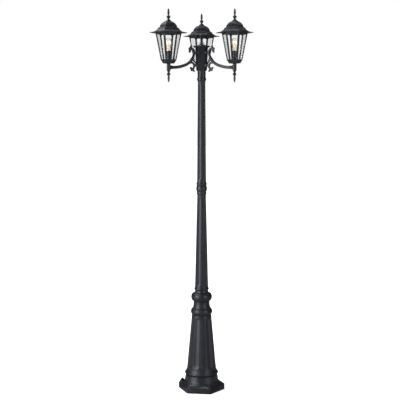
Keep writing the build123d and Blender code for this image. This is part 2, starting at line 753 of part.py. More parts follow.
with BuildPart() as lampholder:
    with BuildSketch(Plane.XY.offset(holder_z)):
        Circle(holder_r)
        Circle(stem_r, mode=Mode.SUBTRACT)
    extrude(amount=bulb_cap_z[0] - 2 - holder_z)
    with BuildSketch(Plane.XY.offset(bulb_cap_z[0] - 2)):
        Circle(holder_r)
        Circle(bulb_cap_r + bulb_clearance, mode=Mode.SUBTRACT)
    extrude(amount=holder_top_z - bulb_cap_z[0] + 2)

with BuildPart() as candle_sleeve:
    with BuildSketch(Plane.XY.offset(cup_z[0] + cup_floor)):
        Circle(sleeve_r)
        Circle(sleeve_r - sleeve_wall, mode=Mode.SUBTRACT)
    extrude(amount=sleeve_top_z - cup_z[0] - cup_floor)
    chamfer(candle_sleeve.edges().group_by(Axis.Z)[-1].sort_by(SortBy.RADIUS)[-1], length=0.6)

with BuildPart() as bulb_cap:
    with BuildSketch(Plane.XZ):
        with BuildLine():
            Polyline(
                (0, bulb_cap_z[0]),
                (3.2, bulb_cap_z[0]),
                (bulb_cap_r, bulb_cap_z[0] + 3.5),
                (bulb_cap_r, bulb_cap_z[1]),
                (0, bulb_cap_z[1]),
                close=True,
            )
        make_face()
    revolve()


def bulb_outline(inset):
    """Right half of the lamp glass from its neck to its crown, set in from the outside by inset."""
    return Spline(
        (bulb_neck_r - inset, bulb_cap_z[1]),
        (bulb_r * 0.66 - inset, bulb_wide_z - 27),
        (bulb_r - inset, bulb_wide_z),
        (0, bulb_top_z - inset),
        tangents=((0, 1), (-1, 0)),
        tangent_scalars=(0.8, 1.6),
    )


with BuildPart() as bulb_glass:
    with BuildSketch(Plane.XZ):
        with BuildLine():
            outside = bulb_outline(0)
            inside = bulb_outline(bulb_wall)
            Line(outside @ 0, inside @ 0)
            Line(outside @ 1, inside @ 1)
        make_face()
    revolve()

# ---------------------------------------------------------------------- roof and its finial


def domed_hexagon(outline):
    """Solid hexagon whose six faces all follow one outline, drawn from its axis to the right."""
    with BuildPart() as form:
        for angle in (30, 90, 150):
            direction = Vector(cos(radians(angle)), sin(radians(angle)), 0)
            upright = Plane(origin=(0, 0, 0), x_dir=direction, z_dir=direction.cross(Vector(0, 0, 1)))
            with BuildSketch(upright):
                add(outline)
                mirror(about=Plane.YZ)
            mode = Mode.ADD if angle == 30 else Mode.INTERSECT
            extrude(amount=2 * brim_corner_r, both=True, mode=mode)
    return form.part


brim_x = brim_corner_r * flat
with BuildSketch() as roof_outline:
    with BuildLine():
        Polyline((0, cage_top_z), (brim_x, cage_top_z), (brim_x, cage_top_z + brim_t))
        ThreePointArc((brim_x, cage_top_z + brim_t), brim_flare_mid, shoulder[0])
        Polyline(*shoulder)
        ThreePointArc(shoulder[-1], dome_mid, dome_end)
        ThreePointArc(dome_end, ogee_mid, ogee_end)
        Polyline(ogee_end, (0, ogee_end[1]), (0, cage_top_z))
    make_face()

with BuildSketch() as attic_outline:
    with BuildLine():
        Polyline((0, cage_top_z), *attic[:2])
        ThreePointArc(*attic[1:4])
        Polyline(*attic[3:6])
        ThreePointArc(*attic[5:])
        Polyline(attic[-1], (0, attic[-1][1]), (0, cage_top_z))
    make_face()

with BuildPart() as roof:
    add(domed_hexagon(roof_outline.sketch))
    add(domed_hexagon(attic_outline.sketch), mode=Mode.SUBTRACT)

with BuildPart() as roof_finial:
    with BuildSketch(Plane.XZ):
        with BuildLine():
            collar_foot = (ogee_end[0] - 0.6, ogee_end[1])
            collar_neck = (5.6, roof_knob_z - 8.5)
            Line((0, ogee_end[1]), collar_foot)
            ThreePointArc(collar_foot, (5.9, ogee_end[1] + 4.5), collar_neck)
            Spline(collar_neck, (roof_knob_r, roof_knob_z), (3.8, roof_knob_z + 7.5))
            Spline(
                (3.8, roof_knob_z + 7.5),
                (5.3, roof_knob_z + 22.5),
                (3.7, spear_tip_z - 8),
                (1.8, spear_tip_z - 1.5),
            )
            Polyline((1.8, spear_tip_z - 1.5), (0, spear_tip_z), (0, ogee_end[1]))
        make_face()
    revolve()

# ------------------------------------------------------------------------ the three equal heads

lantern_pieces = {
    "stem": stem,
    "lower_finial": lower_finial,
    "cup": cup,
    "lock_nut": lock_nut,
    "cage": cage,
    "panes": panes,
    "lampholder": lampholder,
    "candle_sleeve": candle_sleeve,
    "bulb_cap": bulb_cap,
    "bulb_glass": bulb_glass,
    "roof": roof,
    "roof_finial": roof_finial,
}

for head, arm_angle, turn in heads:
    with BuildPart() as placed_arm:
        with Locations(Rotation(0, 0, arm_angle)):
            add(arm.part, clean=False)
    export(placed_arm, f"arm_{head}")
    lantern_x = lantern_reach * cos(radians(arm_angle))
    lantern_y = lantern_reach * sin(radians(arm_angle))
    for piece_name, piece in lantern_pieces.items():
        with BuildPart() as placed_piece:
            with Locations(Location((lantern_x, lantern_y, 0), (0, 0, turn))):
                add(piece.part, clean=False)
        export(placed_piece, f"{piece_name}_{head}")
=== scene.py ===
import json
from cmath import phase, rect
from math import cos, pi, radians, sin

import bmesh
import bpy
from bpy.props import FloatProperty, FloatVectorProperty, IntProperty, PointerProperty
from mathutils import Matrix, Vector


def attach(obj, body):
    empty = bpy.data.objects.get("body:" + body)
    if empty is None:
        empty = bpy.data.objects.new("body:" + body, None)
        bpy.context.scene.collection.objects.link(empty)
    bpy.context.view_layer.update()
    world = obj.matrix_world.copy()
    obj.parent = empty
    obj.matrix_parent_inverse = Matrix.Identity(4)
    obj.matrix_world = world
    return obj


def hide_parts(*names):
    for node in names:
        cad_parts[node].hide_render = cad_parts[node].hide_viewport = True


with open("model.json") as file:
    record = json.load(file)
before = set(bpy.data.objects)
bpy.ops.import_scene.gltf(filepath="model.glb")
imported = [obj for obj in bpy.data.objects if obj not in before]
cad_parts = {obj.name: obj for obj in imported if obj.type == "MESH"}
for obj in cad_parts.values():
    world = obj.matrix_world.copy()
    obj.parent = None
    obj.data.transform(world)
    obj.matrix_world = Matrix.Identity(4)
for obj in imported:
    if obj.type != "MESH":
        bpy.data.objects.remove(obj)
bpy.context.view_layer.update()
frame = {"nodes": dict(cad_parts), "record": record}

bl_info = {
    "name": "Garden Lamp Post",
    "version": (1, 0, 0),
    "blender": (4, 5, 0),
    "location": "View3D > Sidebar > Lamp Post",
    "description": "Makes the fluted post, the scroll arms and the three glazed lanterns of a garden lamp post",
    "category": "Add Mesh",
}

# Lengths below are in millimetres, as on the drawing of the castings, and MM turns them into metres.
MM = 0.001
FLAT = cos(radians(30))  # a hexagon's apothem for a corner radius of one
POST_TURN = -7.7  # degrees that the foot and the shafts stand turned
ANCHOR_REACH = 115.0  # from the post's axis to an anchor's
LANTERN_REACH = 213.0  # from the post's axis to a lantern's
HEADS = {"right": (-30, -13), "back": (90, 0), "left": (210, 13)}  # degrees: an arm's heading, its lantern's turn
CAGE_LOW, CAGE_HIGH, CAGE_CORNER = 1916.0, 2065.0, 45.0  # its two ends and its lower corner radius
CAGE_LEAN = 29.5 / 149  # how much that corner radius gains in each millimetre of height
ARM_SWELL = [(0.0, 0.66), (0.18, 0.84), (0.45, 0.97), (0.7, 1.0), (1.0, 1.0)]  # share of the rod, of its radius
LEAF_HALF = 4.25  # half the thickness of the arms' leaves
GLASS_IOR = 1.45
COAT = "black_powder_coat"
FINISHES = {}
SLOTS = {row["material_slot"] for row in frame["record"]["subparts"]}


# ---- outlines ----


def arc(start, middle, end, steps):
    """Points of the circle through three points, from start to end."""
    a, b, c = (complex(*point) for point in (start, middle, end))
    lean = (c - a) / (b - a)
    centre = a + (b - a) * (lean - abs(lean) ** 2) / (2j * lean.imag)
    turn = phase((c - centre) / (a - centre)) % (2 * pi) - (2 * pi if lean.imag < 0 else 0)
    points = [centre + (a - centre) * rect(1, turn * n / steps) for n in range(steps + 1)]
    return [(point.real, point.imag) for point in points]


def curve(*points, steps=7):
    """Smooth run through all of the points."""
    p = [Vector(points[0]) * 2 - Vector(points[1]), *map(Vector, points)]
    p.append(Vector(points[-1]) * 2 - Vector(points[-2]))
    run = []
    for a, b, c, d in zip(p, p[1:], p[2:], p[3:]):
        for n in range(steps):
            t = n / steps
            bend = 2 * b + (c - a) * t + (2 * a - 5 * b + 4 * c - d) * t**2 + (3 * b - a - 3 * c + d) * t**3
            run.append(tuple(bend / 2))
    return run + [tuple(points[-1])]


def arc_to(middle, end, steps=8):
    """Arc of an outline, from the point before it."""
    return lambda start: arc(start, middle, end, steps)[1:-1] + [end]


def curve_to(*points):
    """Smooth run of an outline, from the point before it."""
    return lambda start: curve(start, *points)[1:]


def outline(*parts):
    """Points of an outline from lists of points, arc_to and curve_to."""
    points = []
    for part in parts:
        points += part(points[-1]) if callable(part) else part
    return points


def on_circle(centre, radius, angle):
    """Point of a circle at an angle in degrees."""
    return (centre[0] + radius * cos(radians(angle)), centre[1] + radius * sin(radians(angle)))


def swing(centre, radius, first, last, steps):
    """Points of a circle's arc between two angles in degrees."""
    return [on_circle(centre, radius, first + (last - first) * n / steps) for n in range(steps + 1)]


def round_ring(radius, z, steps, start=0.0):
    """Level ring of points on a circle, from a starting angle in degrees."""
    return [(*on_circle((0, 0), radius, start + 360 * n / steps), z) for n in range(steps)]


def hexagon_ring(apothem, z, corner):
    """Level ring of a hexagon with rounded corners, the first of which points along +X."""
    ring = []
    for heading in range(0, 360, 60):
        centre = on_circle((0, 0), (apothem - corner) / FLAT, heading)
        ring += [(*on_circle(centre, corner, heading + turn), z) for turn in (-30, -15, 0, 15, 30)]
    return ring


# ---- meshes ----


def new_object(name, data):
    """Object in the scene at the origin."""
    obj = bpy.data.objects.new(name, data)
    bpy.context.scene.collection.objects.link(obj)
    return obj


def mesh_object(name, bm):
    """Object from a finished bmesh, which is freed."""
    mesh = bpy.data.meshes.new(name)
    bm.to_mesh(mesh)
    bm.free()
    return new_object(name, mesh)


def skin(name, rings, ends="joined"):
    """Skin over equal rings of points, or of one point for a pole, with its ends joined, capped or open."""
    bm = bmesh.new()
    rows = [[bm.verts.new(Vector(p) * MM) for p in ring] for ring in rings]
    for low, high in zip(rows, rows[1:] + rows[:1] if ends == "joined" else rows[1:]):
        for n in range(max(len(low), len(high))):
            corners = [low[n % len(low)], low[(n + 1) % len(low)], high[(n + 1) % len(high)], high[n % len(high)]]
            corners = list(dict.fromkeys(corners))
            if len(corners) > 2:
                bm.faces.new(corners)
    for row in (rows[0], rows[-1]) if ends == "capped" else ():
        bm.faces.new(row)
    bmesh.ops.remove_doubles(bm, verts=bm.verts, dist=1e-6)
    bmesh.ops.dissolve_degenerate(bm, edges=bm.edges, dist=1e-7)
    bmesh.ops.recalc_face_normals(bm, faces=bm.faces)
    return mesh_object(name, bm)


def turned(name, points, steps=96):
    """Solid turned on the lathe from a closed outline of (radius, height) points."""
    return skin(name, [round_ring(r, z, steps) if r > 1e-6 else [(0, 0, z)] for r, z in points])


def six_sided(name, points, corner=1.6):
    """Six-sided casting from a closed outline of (apothem, height) points."""
    return skin(name, [hexagon_ring(a, z, corner) if a else [(0, 0, z)] for a, z in points])


def joined(name, *parts):
    """One object from the meshes of several, which are used up."""
    bm = bmesh.new()
    for part in parts:
        bm.from_mesh(part.data)
        bpy.data.objects.remove(part)
    return mesh_object(name, bm)


def cast_copy(name, node):
    """Merged copy of a packed casting, with its flat faces whole again."""
    bm = bmesh.new()
    bm.from_mesh(frame["nodes"][node].data)
    bmesh.ops.remove_doubles(bm, verts=bm.verts, dist=2e-6)
    bmesh.ops.dissolve_degenerate(bm, edges=bm.edges, dist=1e-6)
    return mesh_object(name, bm)


def in_metres(**sizes):
    """Named sizes in metres, from millimetres."""
    return {key: size * MM for key, size in sizes.items()}


def shift(x=0.0, y=0.0, z=0.0):
    """Matrix of a move in millimetres."""
    return Matrix.Translation((x * MM, y * MM, z * MM))


def spin(angle, axis="Z"):
    """Matrix of a turn in degrees."""
    return Matrix.Rotation(radians(angle), 4, axis)


def moved(obj, matrix):
    """The object, with its mesh moved by a matrix."""
    obj.data.transform(matrix)
    return obj


def baked(obj):
    """The object with what its modifiers make as a plain mesh."""
    graph = bpy.context.evaluated_depsgraph_get()
    mesh = bpy.data.meshes.new_from_object(obj.evaluated_get(graph), depsgraph=graph)
    name = obj.name
    bpy.data.objects.remove(obj)
    return new_object(name, mesh)


def settle(obj, sharp=35.0):
    """Bake the modifiers, then shade smooth with edges crisp above an angle in degrees."""
    obj = baked(obj)
    obj.data.shade_smooth()
    obj.data.set_sharp_from_angle(angle=radians(sharp))
    return obj


def soften(obj, width, angle):
    """Round the edges of a casting above an angle, by a width in millimetres."""
    bevel = obj.modifiers.new("Soft edges", "BEVEL")
    bevel.width, bevel.segments = width * MM, 2
    bevel.limit_method, bevel.angle_limit = "ANGLE", radians(angle)
    obj = settle(obj, angle + 5)
    obj.modifiers.new("Flat faces stay flat", "WEIGHTED_NORMAL").keep_sharp = True
    return baked(obj)


def dress(obj, finish):
    """Give a piece its finish in place of any other."""
    obj.data.materials.clear()
    obj.data.materials.append(finish_of(finish))


def fit(obj, body, *nodes, finish=COAT):
    """Give a piece its finish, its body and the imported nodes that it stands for."""
    dress(obj, finish)
    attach(obj, body)
    if nodes:
        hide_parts(*nodes)
    finish in SLOTS


def fit_heads(piece, name, group, *nodes, finish=COAT):
    """Use a lantern piece up as the pattern for those of all three heads."""
    for head, (heading, turn) in HEADS.items():
        place = shift(*on_circle((0, 0), LANTERN_REACH, heading)) @ spin(turn)
        copy = moved(new_object(f"{name}_{head}", piece.data.copy()), place)
        fit(copy, f"{head}_{group}", *[f"{node}_{head}" for node in nodes], finish=finish)
    bpy.data.objects.remove(piece)


# ---- node trees ----


class Number:
    """Output of a node, on which arithmetic lays out Math nodes."""

    def __init__(self, net, socket):
        self.net, self.socket = net, socket

    def __rsub__(self, other):
        return self.net.maths("SUBTRACT", other, self)


OPERATIONS = {"add": "ADD", "sub": "SUBTRACT", "mul": "MULTIPLY", "truediv": "DIVIDE", "pow": "POWER"}
for key, operation in {**OPERATIONS, "lt": "LESS_THAN", "gt": "GREATER_THAN"}.items():
    setattr(Number, f"__{key}__", lambda self, other, kind=operation: self.net.maths(kind, self, other))


class Tree:
    """Shorthand for laying out a tree of nodes, each placed to the right of the last."""

    def __init__(self, tree):
        self.tree = tree

    def node(self, kind, *values, **settings):
        """Add a node by its type's name without the family; None leaves an input as it is.

        A setting with a capital is an input by its name, and any other one is the node's own.
        """
        kinds = [family + kind for family in ("ShaderNode", "GeometryNode", "") if hasattr(bpy.types, family + kind)]
        node = self.tree.nodes.new(kinds[0])
        column = len(self.tree.nodes)
        node.location = (column * 180, -(column % 4) * 120)
        for key in [key for key in settings if key.islower()]:
            setattr(node, key, settings.pop(key))
        for socket, value in zip(node.inputs, values):
            self.feed(socket, value)
        self.set(node, **settings)
        return node

    def feed(self, socket, value):
        """Link a socket to a number or another socket, or set its value."""
        if isinstance(value, Number):
            value = value.socket
        if isinstance(value, bpy.types.NodeSocket):
            self.tree.links.new(value, socket)
        elif value is not None:
            socket.default_value = value

    def set(self, node, **values):
        """Feed a node's inputs by their names, with underscores for blanks."""
        for key, value in values.items():
            self.feed(node.inputs[key.replace("_", " ")], value)

    def outputs(self, kind, *values, **settings):
        """All outputs of a new node by their names."""
        return {socket.name: Number(self, socket) for socket in self.node(kind, *values, **settings).outputs}

    def out(self, kind, *values, **settings):
        """First output of a new node."""
        return Number(self, self.node(kind, *values, **settings).outputs[0])

    def maths(self, operation, *values):
        """Result of one Math node."""
        return self.out("Math", *values, operation=operation)

    def place(self):
        """The object's own coordinates."""
        return self.outputs("TexCoord")["Object"]

    def noise(self, place, scale, detail=2.0):
        """Soft noise with so many grains in a metre."""
        return self.out("TexNoise", Vector=place, Scale=scale, Detail=detail)

    def ramp(self, value, *stops):
        """Colour ramp through stops of (position, colour)."""
        node = self.node("ValToRGB", value)
        elements = node.color_ramp.elements
        for position, _ in stops[1:-1]:
            elements.new(position)
        for element, (position, shade) in zip(elements, stops):
            element.position, element.color = position, (*shade, 1)
        return node.outputs[0]


def grower(name, **inputs):
    """Geometry tree with named inputs: its shorthand, and the inputs as numbers."""
    tree = bpy.data.node_groups.new(name, "GeometryNodeTree")
    add = tree.interface.new_socket
    add("Geometry", in_out="INPUT", socket_type="NodeSocketGeometry")
    add("Geometry", in_out="OUTPUT", socket_type="NodeSocketGeometry")
    for key, default in inputs.items():
        kind = "NodeSocketInt" if isinstance(default, int) else "NodeSocketFloat"
        add(key.replace("_", " "), in_out="INPUT", socket_type=kind).default_value = default
    add("Finish", in_out="INPUT", socket_type="NodeSocketMaterial")
    net = Tree(tree)
    return net, net.outputs("NodeGroupInput")


def end_tree(net, geometry, finish, merge=1e-6):
    """Close a geometry tree: merged, realized, with its finish."""
    merged = net.out("MergeByDistance", geometry, None, merge)
    real = net.out("RealizeInstances", merged)
    net.node("NodeGroupOutput", net.out("SetMaterial", real, None, finish))
    return net.tree


def grown(obj, tree, sharp=35.0, finish=COAT, **sizes):
    """Mesh that a tree makes of an object, or of nothing under a name, with these inputs."""
    if isinstance(obj, str):
        obj = new_object(obj, bpy.data.meshes.new(obj))
    modifier = obj.modifiers.new(tree.name, "NODES")
    modifier.node_group = tree
    values = {key.replace("_", " "): value for key, value in sizes.items()}
    values["Finish"] = finish_of(finish)
    for item in tree.interface.items_tree:
        if item.in_out == "INPUT" and item.name in values:
            modifier[item.identifier] = values[item.name]
    return settle(obj, sharp)


def lathe_grid(net, around, rows):
    """Grid to set round an axis, each point's share of a turn and row, and the last row."""
    grid = net.out("MeshGrid", 1.0, 1.0, around, rows)
    place = net.outputs("SeparateXYZ", net.out("InputPosition"))
    last = rows - 1
    return grid, place["X"] + 0.5, (place["Y"] + 0.5) * last, last


def set_round(net, grid, radius, angle, z, across=0.0):
    """The grid set round the vertical axis, or round one that stands across from it."""
    x = radius * net.maths("COSINE", angle) + across
    spot = net.out("CombineXYZ", x, radius * net.maths("SINE", angle), z)
    return net.out("SetPosition", grid, None, spot)


def fluted_length_tree():
    """Tapering tube with round-ended flutes all round, which die out before its ends."""
    ends = {"Low_radius": 0.04, "High_radius": 0.03, "Low_height": 0.0, "High_height": 0.5, "Turn": 0.0}
    flutes = {"Flutes": 12, "Depth": 0.06, "End_margin": 0.009, "End_length": 0.3126}
    net, take = grower("Fluted length", **ends, **flutes, Wall=0.005, Rows=124)
    m = net.maths
    low_r, high_r, low_z, high_z = (take[f"{end} {size}"] for size in ("radius", "height") for end in ("Low", "High"))
    grid, u, row, last = lathe_grid(net, take["Flutes"] * 16 + 1, take["Rows"])
    inner = m("MAXIMUM", row < 0.5, row > last - 1.5)
    share = m("MINIMUM", m("MAXIMUM", (row - 1) / (last - 3), 0.0), 1.0 - (row > last - 0.5))
    share = 0.5 - m("COSINE", share * pi) * 0.5
    z = low_z + share * (high_z - low_z)
    radius = low_r + share * (high_r - low_r)
    side = m("FRACT", u * take["Flutes"]) * 2.0 - 1.0
    side = (m("ABSOLUTE", side) / 0.875) ** 2.0
    low_end, high_end = (take["End margin"] + r * take["End length"] for r in (low_r, high_r))
    beyond = m("MAXIMUM", m("MAXIMUM", low_z + low_end - z, z - high_z + high_end), 0.0)
    beyond = (beyond / (radius * take["End length"])) ** 2.0
    cut = radius * take["Depth"] * m("MAXIMUM", 1.0 - side - beyond, 0.0)
    reach = radius - cut - inner * (take["Wall"] - cut)
    return end_tree(net, set_round(net, grid, reach, u * (2 * pi) + take["Turn"], z), take["Finish"])


def round_tree():
    """Repeats the object's own mesh at equal angles round the vertical axis."""
    net, take = grower("Repeat round", Count=6, Turn=0.0)
    points = net.out("Points", take["Count"])
    angle = net.out("InputIndex") * net.maths("DIVIDE", 2 * pi, take["Count"]) + take["Turn"]
    turns = net.out("CombineXYZ", 0.0, 0.0, angle)
    copies = net.out("InstanceOnPoints", points, None, take["Geometry"], None, None, turns)
    return end_tree(net, net.out("RealizeInstances", copies), take["Finish"])


def thread_tree():
    """Round bar with a screw thread on it, closed at both ends."""
    net, take = grower("Screw thread", Radius=0.006, Depth=0.0006, Pitch=0.00175, Low=0.0, High=0.01, Across=0.0)
    m = net.maths
    low, high, pitch = take["Low"], take["High"], take["Pitch"]
    grid, u, row, last = lathe_grid(net, 33, m("CEIL", (high - low) / pitch * 8) + 3)
    ends = m("MAXIMUM", row < 0.5, row > last - 0.5)
    z = low + m("MINIMUM", m("MAXIMUM", (row - 1) / (last - 2), 0.0), 1.0) * (high - low)
    ridge = m("ABSOLUTE", m("FRACT", z / pitch - u) * 2.0 - 1.0)
    runout = m("MINIMUM", m("MINIMUM", z - low, high - z) / pitch, 1.0)
    radius = (take["Radius"] - take["Depth"] * (1.0 - ridge * runout)) * (1.0 - ends)
    return end_tree(net, set_round(net, grid, radius, u * (2 * pi), z, take["Across"]), take["Finish"], 1e-7)


def rod_tree():
    """Round rod along every spline of the object's curve, as thick as the curve's own radius."""
    net, take = grower("Rod on a path", Around=16)
    ring = net.out("CurvePrimitiveCircle", take["Around"], mode="RADIUS", Radius=1.0)
    thickness = net.out("InputRadius")
    rod = net.out("CurveToMesh", take["Geometry"], ring, Fill_Caps=True, Scale=thickness)
    return end_tree(net, rod, take["Finish"])


def path_object(name, *runs):
    """Curve object from runs of (x, y, z, radius) points in millimetres."""
    data = bpy.data.curves.new(name, "CURVE")
    data.dimensions = "3D"
    for run in runs:
        spline = data.splines.new("POLY")
        spline.points.add(len(run) - 1)
        for point, (x, y, z, r) in zip(spline.points, run):
            point.co = (x * MM, y * MM, z * MM, 1)
            point.radius = r * MM
    return new_object(name, data)


# ---- finishes ----


def surface(name, colour, roughness, **inputs):
    """New material, the shorthand for its tree, and its Principled shader with these inputs."""
    material = bpy.data.materials.new(f"{name} finish")
    material.use_nodes = True
    net, shader = Tree(material.node_tree), material.node_tree.nodes["Principled BSDF"]
    net.set(shader, Base_Color=(*colour, 1), Roughness=roughness, **inputs)
    return material, net, shader


def clouded(name, colour, roughness, shades, spread, scale, grains, **inputs):
    """Material clouded in its colour, by two shades of it, and in its roughness, by a spread to both sides.

    Its grains are layers of bump: (grains in a metre, height in metres, strength).
    """
    base = Vector(colour)
    material, net, shader = surface(name, base, roughness, **inputs)
    place = net.place()
    cloud = net.noise(place, scale, 4.0)
    tint = net.ramp(cloud, (0.3, base * shades[0]), (0.7, base * shades[1]))
    rough = net.out("MapRange", cloud, 0.3, 0.7, roughness + spread[0], roughness + spread[1])
    bump = None
    for fineness, height, strength in grains:
        grain = net.noise(place, fineness)
        bump = net.out("Bump", Strength=strength, Distance=height, Height=grain, Normal=bump)
    net.set(shader, Base_Color=tint, Roughness=rough, Normal=bump)
    return material


def black_powder_coat(finish):
    """Satin black powder coat on cast aluminium, with its fine orange peel."""
    fineness = 1 / finish.coat_grain
    grains = (fineness, 0.00005, 0.4), (fineness / 12, 0.00012, 0.1)
    look = finish.coat_colour, finish.coat_roughness, (0.84, 1.18), (-0.04, 0.06), 14.0, grains
    return clouded(COAT, *look, Specular_Tint=(0.84, 0.9, 1.0, 1))


def metal(name, colour, roughness):
    """Bare or plated metal with soft clouding and fine scratches."""
    grains = [(900.0, 0.00008, 0.4)]
    return clouded(name, colour, roughness, (0.82, 1.08), (-0.06, 0.1), 60.0, grains, Metallic=1.0)


def plastic(name, colour, roughness):
    """Moulded plastic with a faint spark-eroded grain."""
    return clouded(name, colour, roughness, (0.85, 1.15), (-0.05, 0.05), 40.0, [(1400.0, 0.00005, 0.4)])


def glass(name, tint):
    """Clear glass, which shadow rays and rays that bounced before pass straight through."""
    material, net, shader = surface(name, tint, 0.0, Transmission_Weight=1.0, IOR=GLASS_IOR)
    rays = net.outputs("LightPath")
    bounced = rays["Ray Depth"] - rays["Transmission Depth"] > 0.5
    passing = net.maths("MAXIMUM", rays["Is Shadow Ray"], bounced)
    clear = net.out("BsdfTransparent", (*tint, 1))
    mixed = net.out("MixShader", passing, shader.outputs[0], clear)
    net.set(material.node_tree.nodes["Material Output"], Surface=mixed)
    return material, net, shader


def pane_glass(tint):
    """Window glass with a faint cloud in its tint."""
    material, net, shader = glass("pane_glass", tint)
    cloud = net.noise(net.place(), 9.0, 1.0)
    net.set(shader, Base_Color=net.ramp(cloud, (0.0, Vector(tint) * 0.985), (1.0, tint)))
    return material


def lamp_glass(light):
    """Clear lamp glass, which glows with the lamp's light where its attribute of glow and painted reflection is high,
    shows painted amber reflections of the filament where that is highest, and is clear elsewhere.
    """
    material, net, shader = glass("lamp_glass", (1.0, 1.0, 1.0))
    warmth = net.outputs("Attribute", attribute_name="warmth")["Fac"]
    # tint runs from clear glass through the lamp's glow to the painted amber reflections of the filament, which glow
    # as well
    tint = net.ramp(warmth, (0.0, (1, 1, 1)), (0.5, light.glass_tint), (1.0, light.amber_tint))
    glow = warmth * light.glow_strength
    net.set(shader, Base_Color=tint, Emission_Color=(*light.glow_colour, 1), Emission_Strength=glow)
    return material


def filament_wire(light):
    """White-hot filament wire."""
    material, net, shader = surface("filament_wire", (0.9, 0.6, 0.3), 0.4)
    low, high = light.filament_strength * 0.8, light.filament_strength * 1.2
    heat = net.out("MapRange", net.noise(net.place(), 120.0), 0.3, 0.7, low, high)
    net.set(shader, Emission_Color=(*light.filament_colour, 1), Emission_Strength=heat)
    return material


def finish_of(name):
    """The named finish, made on first use."""
    scene = bpy.context.scene
    settings, light = scene.lamp_post_finish, scene.lamp_post_light
    makers = {
        COAT: lambda: black_powder_coat(settings),
        "black_steel": lambda: metal(name, (0.06, 0.06, 0.065), 0.42),
        "zinc_steel": lambda: metal(name, (0.5, 0.51, 0.53), 0.32),
        "lamp_cap_metal": lambda: metal(name, (0.72, 0.66, 0.5), 0.3),
        "lampholder_plastic": lambda: plastic(name, (0.02, 0.02, 0.021), 0.45),
        "terminal_plastic": lambda: plastic(name, (0.72, 0.72, 0.69), 0.5),
        "pane_glass": lambda: pane_glass(settings.pane_tint),
        "lamp_glass": lambda: lamp_glass(light),
        "filament_wire": lambda: filament_wire(light),
    }
    if name not in FINISHES:
        FINISHES[name] = makers[name]()
    return FINISHES[name]


# ---- sizes and colours ----


def kind_of(prop, **kind):
    """Maker of properties of one kind, each from its name, description, default and limits."""
    return lambda name, description, default, **limits: prop(
        name=name, description=description, default=default, **kind, **limits
    )


count, number, colour = kind_of(IntProperty), kind_of(FloatProperty), kind_of(FloatVectorProperty, subtype="COLOR")
length = kind_of(FloatProperty, unit="LENGTH", subtype="DISTANCE")
angle = kind_of(FloatProperty, unit="ROTATION", subtype="ANGLE")
share, power = kind_of(FloatProperty, subtype="FACTOR"), kind_of(FloatProperty, unit="POWER")


class PostSizes(bpy.types.PropertyGroup):
    """Sizes of the post and its castings"""

    flutes: count("Flutes", "Flutes round the pedestal and the shafts", 12, min=6, max=24)
    flute_depth: share("Flute depth", "Depth of a flute as a share of the shaft's radius", 0.06)
    flute_margin: length("Flute margin", "Plain band between the flutes and a shaft's end", 0.009)
    casting_edge: length("Casting edge", "Rounding of the castings' edges", 0.0009)
    arm_rod: length("Arm rod", "Radius of the scroll arms at their thickest", 0.0086)
    arm_blend: count("Arm blend", "Smoothing passes where the leaves grow out of an arm", 4, min=0, max=30)
    window_arch: length("Window arch", "Rounding of the lantern windows' upper corners", 0.007)
    window_bar: length("Window bar", "Width of the bars between two windows", 0.0148)
    thread_pitch: length("Thread pitch", "Pitch of the anchor studs", 0.00175)


class PostFinish(bpy.types.PropertyGroup):
    """Colours and surface of the coat and the panes"""

    coat_colour: colour("Coat colour", "Colour of the powder coat", (0.0085, 0.0088, 0.0108))
    coat_roughness: share("Coat roughness", "Roughness of the powder coat", 0.41)
    coat_grain: length("Coat grain", "Width of the coat's grains", 0.0011)
    pane_tint: colour("Pane tint", "Tint of the lantern panes", (0.985, 0.993, 0.99))


class PostLight(bpy.types.PropertyGroup):
    """Light of the lamps"""

    glow_colour: colour("Glow colour", "Warm light in the lamp glass", (1.0, 0.8, 0.58))
    glow_strength: number("Glow strength", "Light given by the lamp glass", 0.05)
    glass_tint: colour("Glass tint", "Colour of the lamp glass in the light", (0.985, 0.93, 0.84))
    # colour of the painted reflections of the filament on the lamp glass
    amber_tint: colour("Amber tint", "Colour of the lamp glass's warmest spots", (0.95, 0.66, 0.32))
    filament_colour: colour("Filament colour", "Colour of the glowing wire", (1.0, 0.76, 0.48))
    filament_strength: number("Filament strength", "Light of the glowing wire", 5.0)


class StageSettings(bpy.types.PropertyGroup):
    """Camera, floor and studio lights"""

    camera_distance: length("Camera distance", "From the post to the camera", 5.469)
    camera_height: length("Camera height", "Height of the camera", 1.693)
    camera_tilt: angle("Camera tilt", "Downward tilt of the camera", radians(6.009))
    camera_turn: angle("Camera turn", "Turn of the camera to the left", radians(0.0965))
    camera_lens: number("Camera lens", "Focal length in millimetres", 85.5)
    floor_level: share("Floor level", "Brightness of the pale floor", 0.86)
    ambient_level: number("Ambient level", "Light from all round the room", 0.4)
    studio_level: number("Studio level", "Brightness of the room that a glossy surface shows", 0.05)
    key_power: power("Key power", "Tall soft light, front left", 180.0)
    fill_power: power("Fill power", "Tall soft light, front right", 55.0)
    left_top_power: power("Left top power", "High soft light, over the left side", 92.0)
    right_top_power: power("Right top power", "High soft light, back right", 9.0)


# ---- operators ----


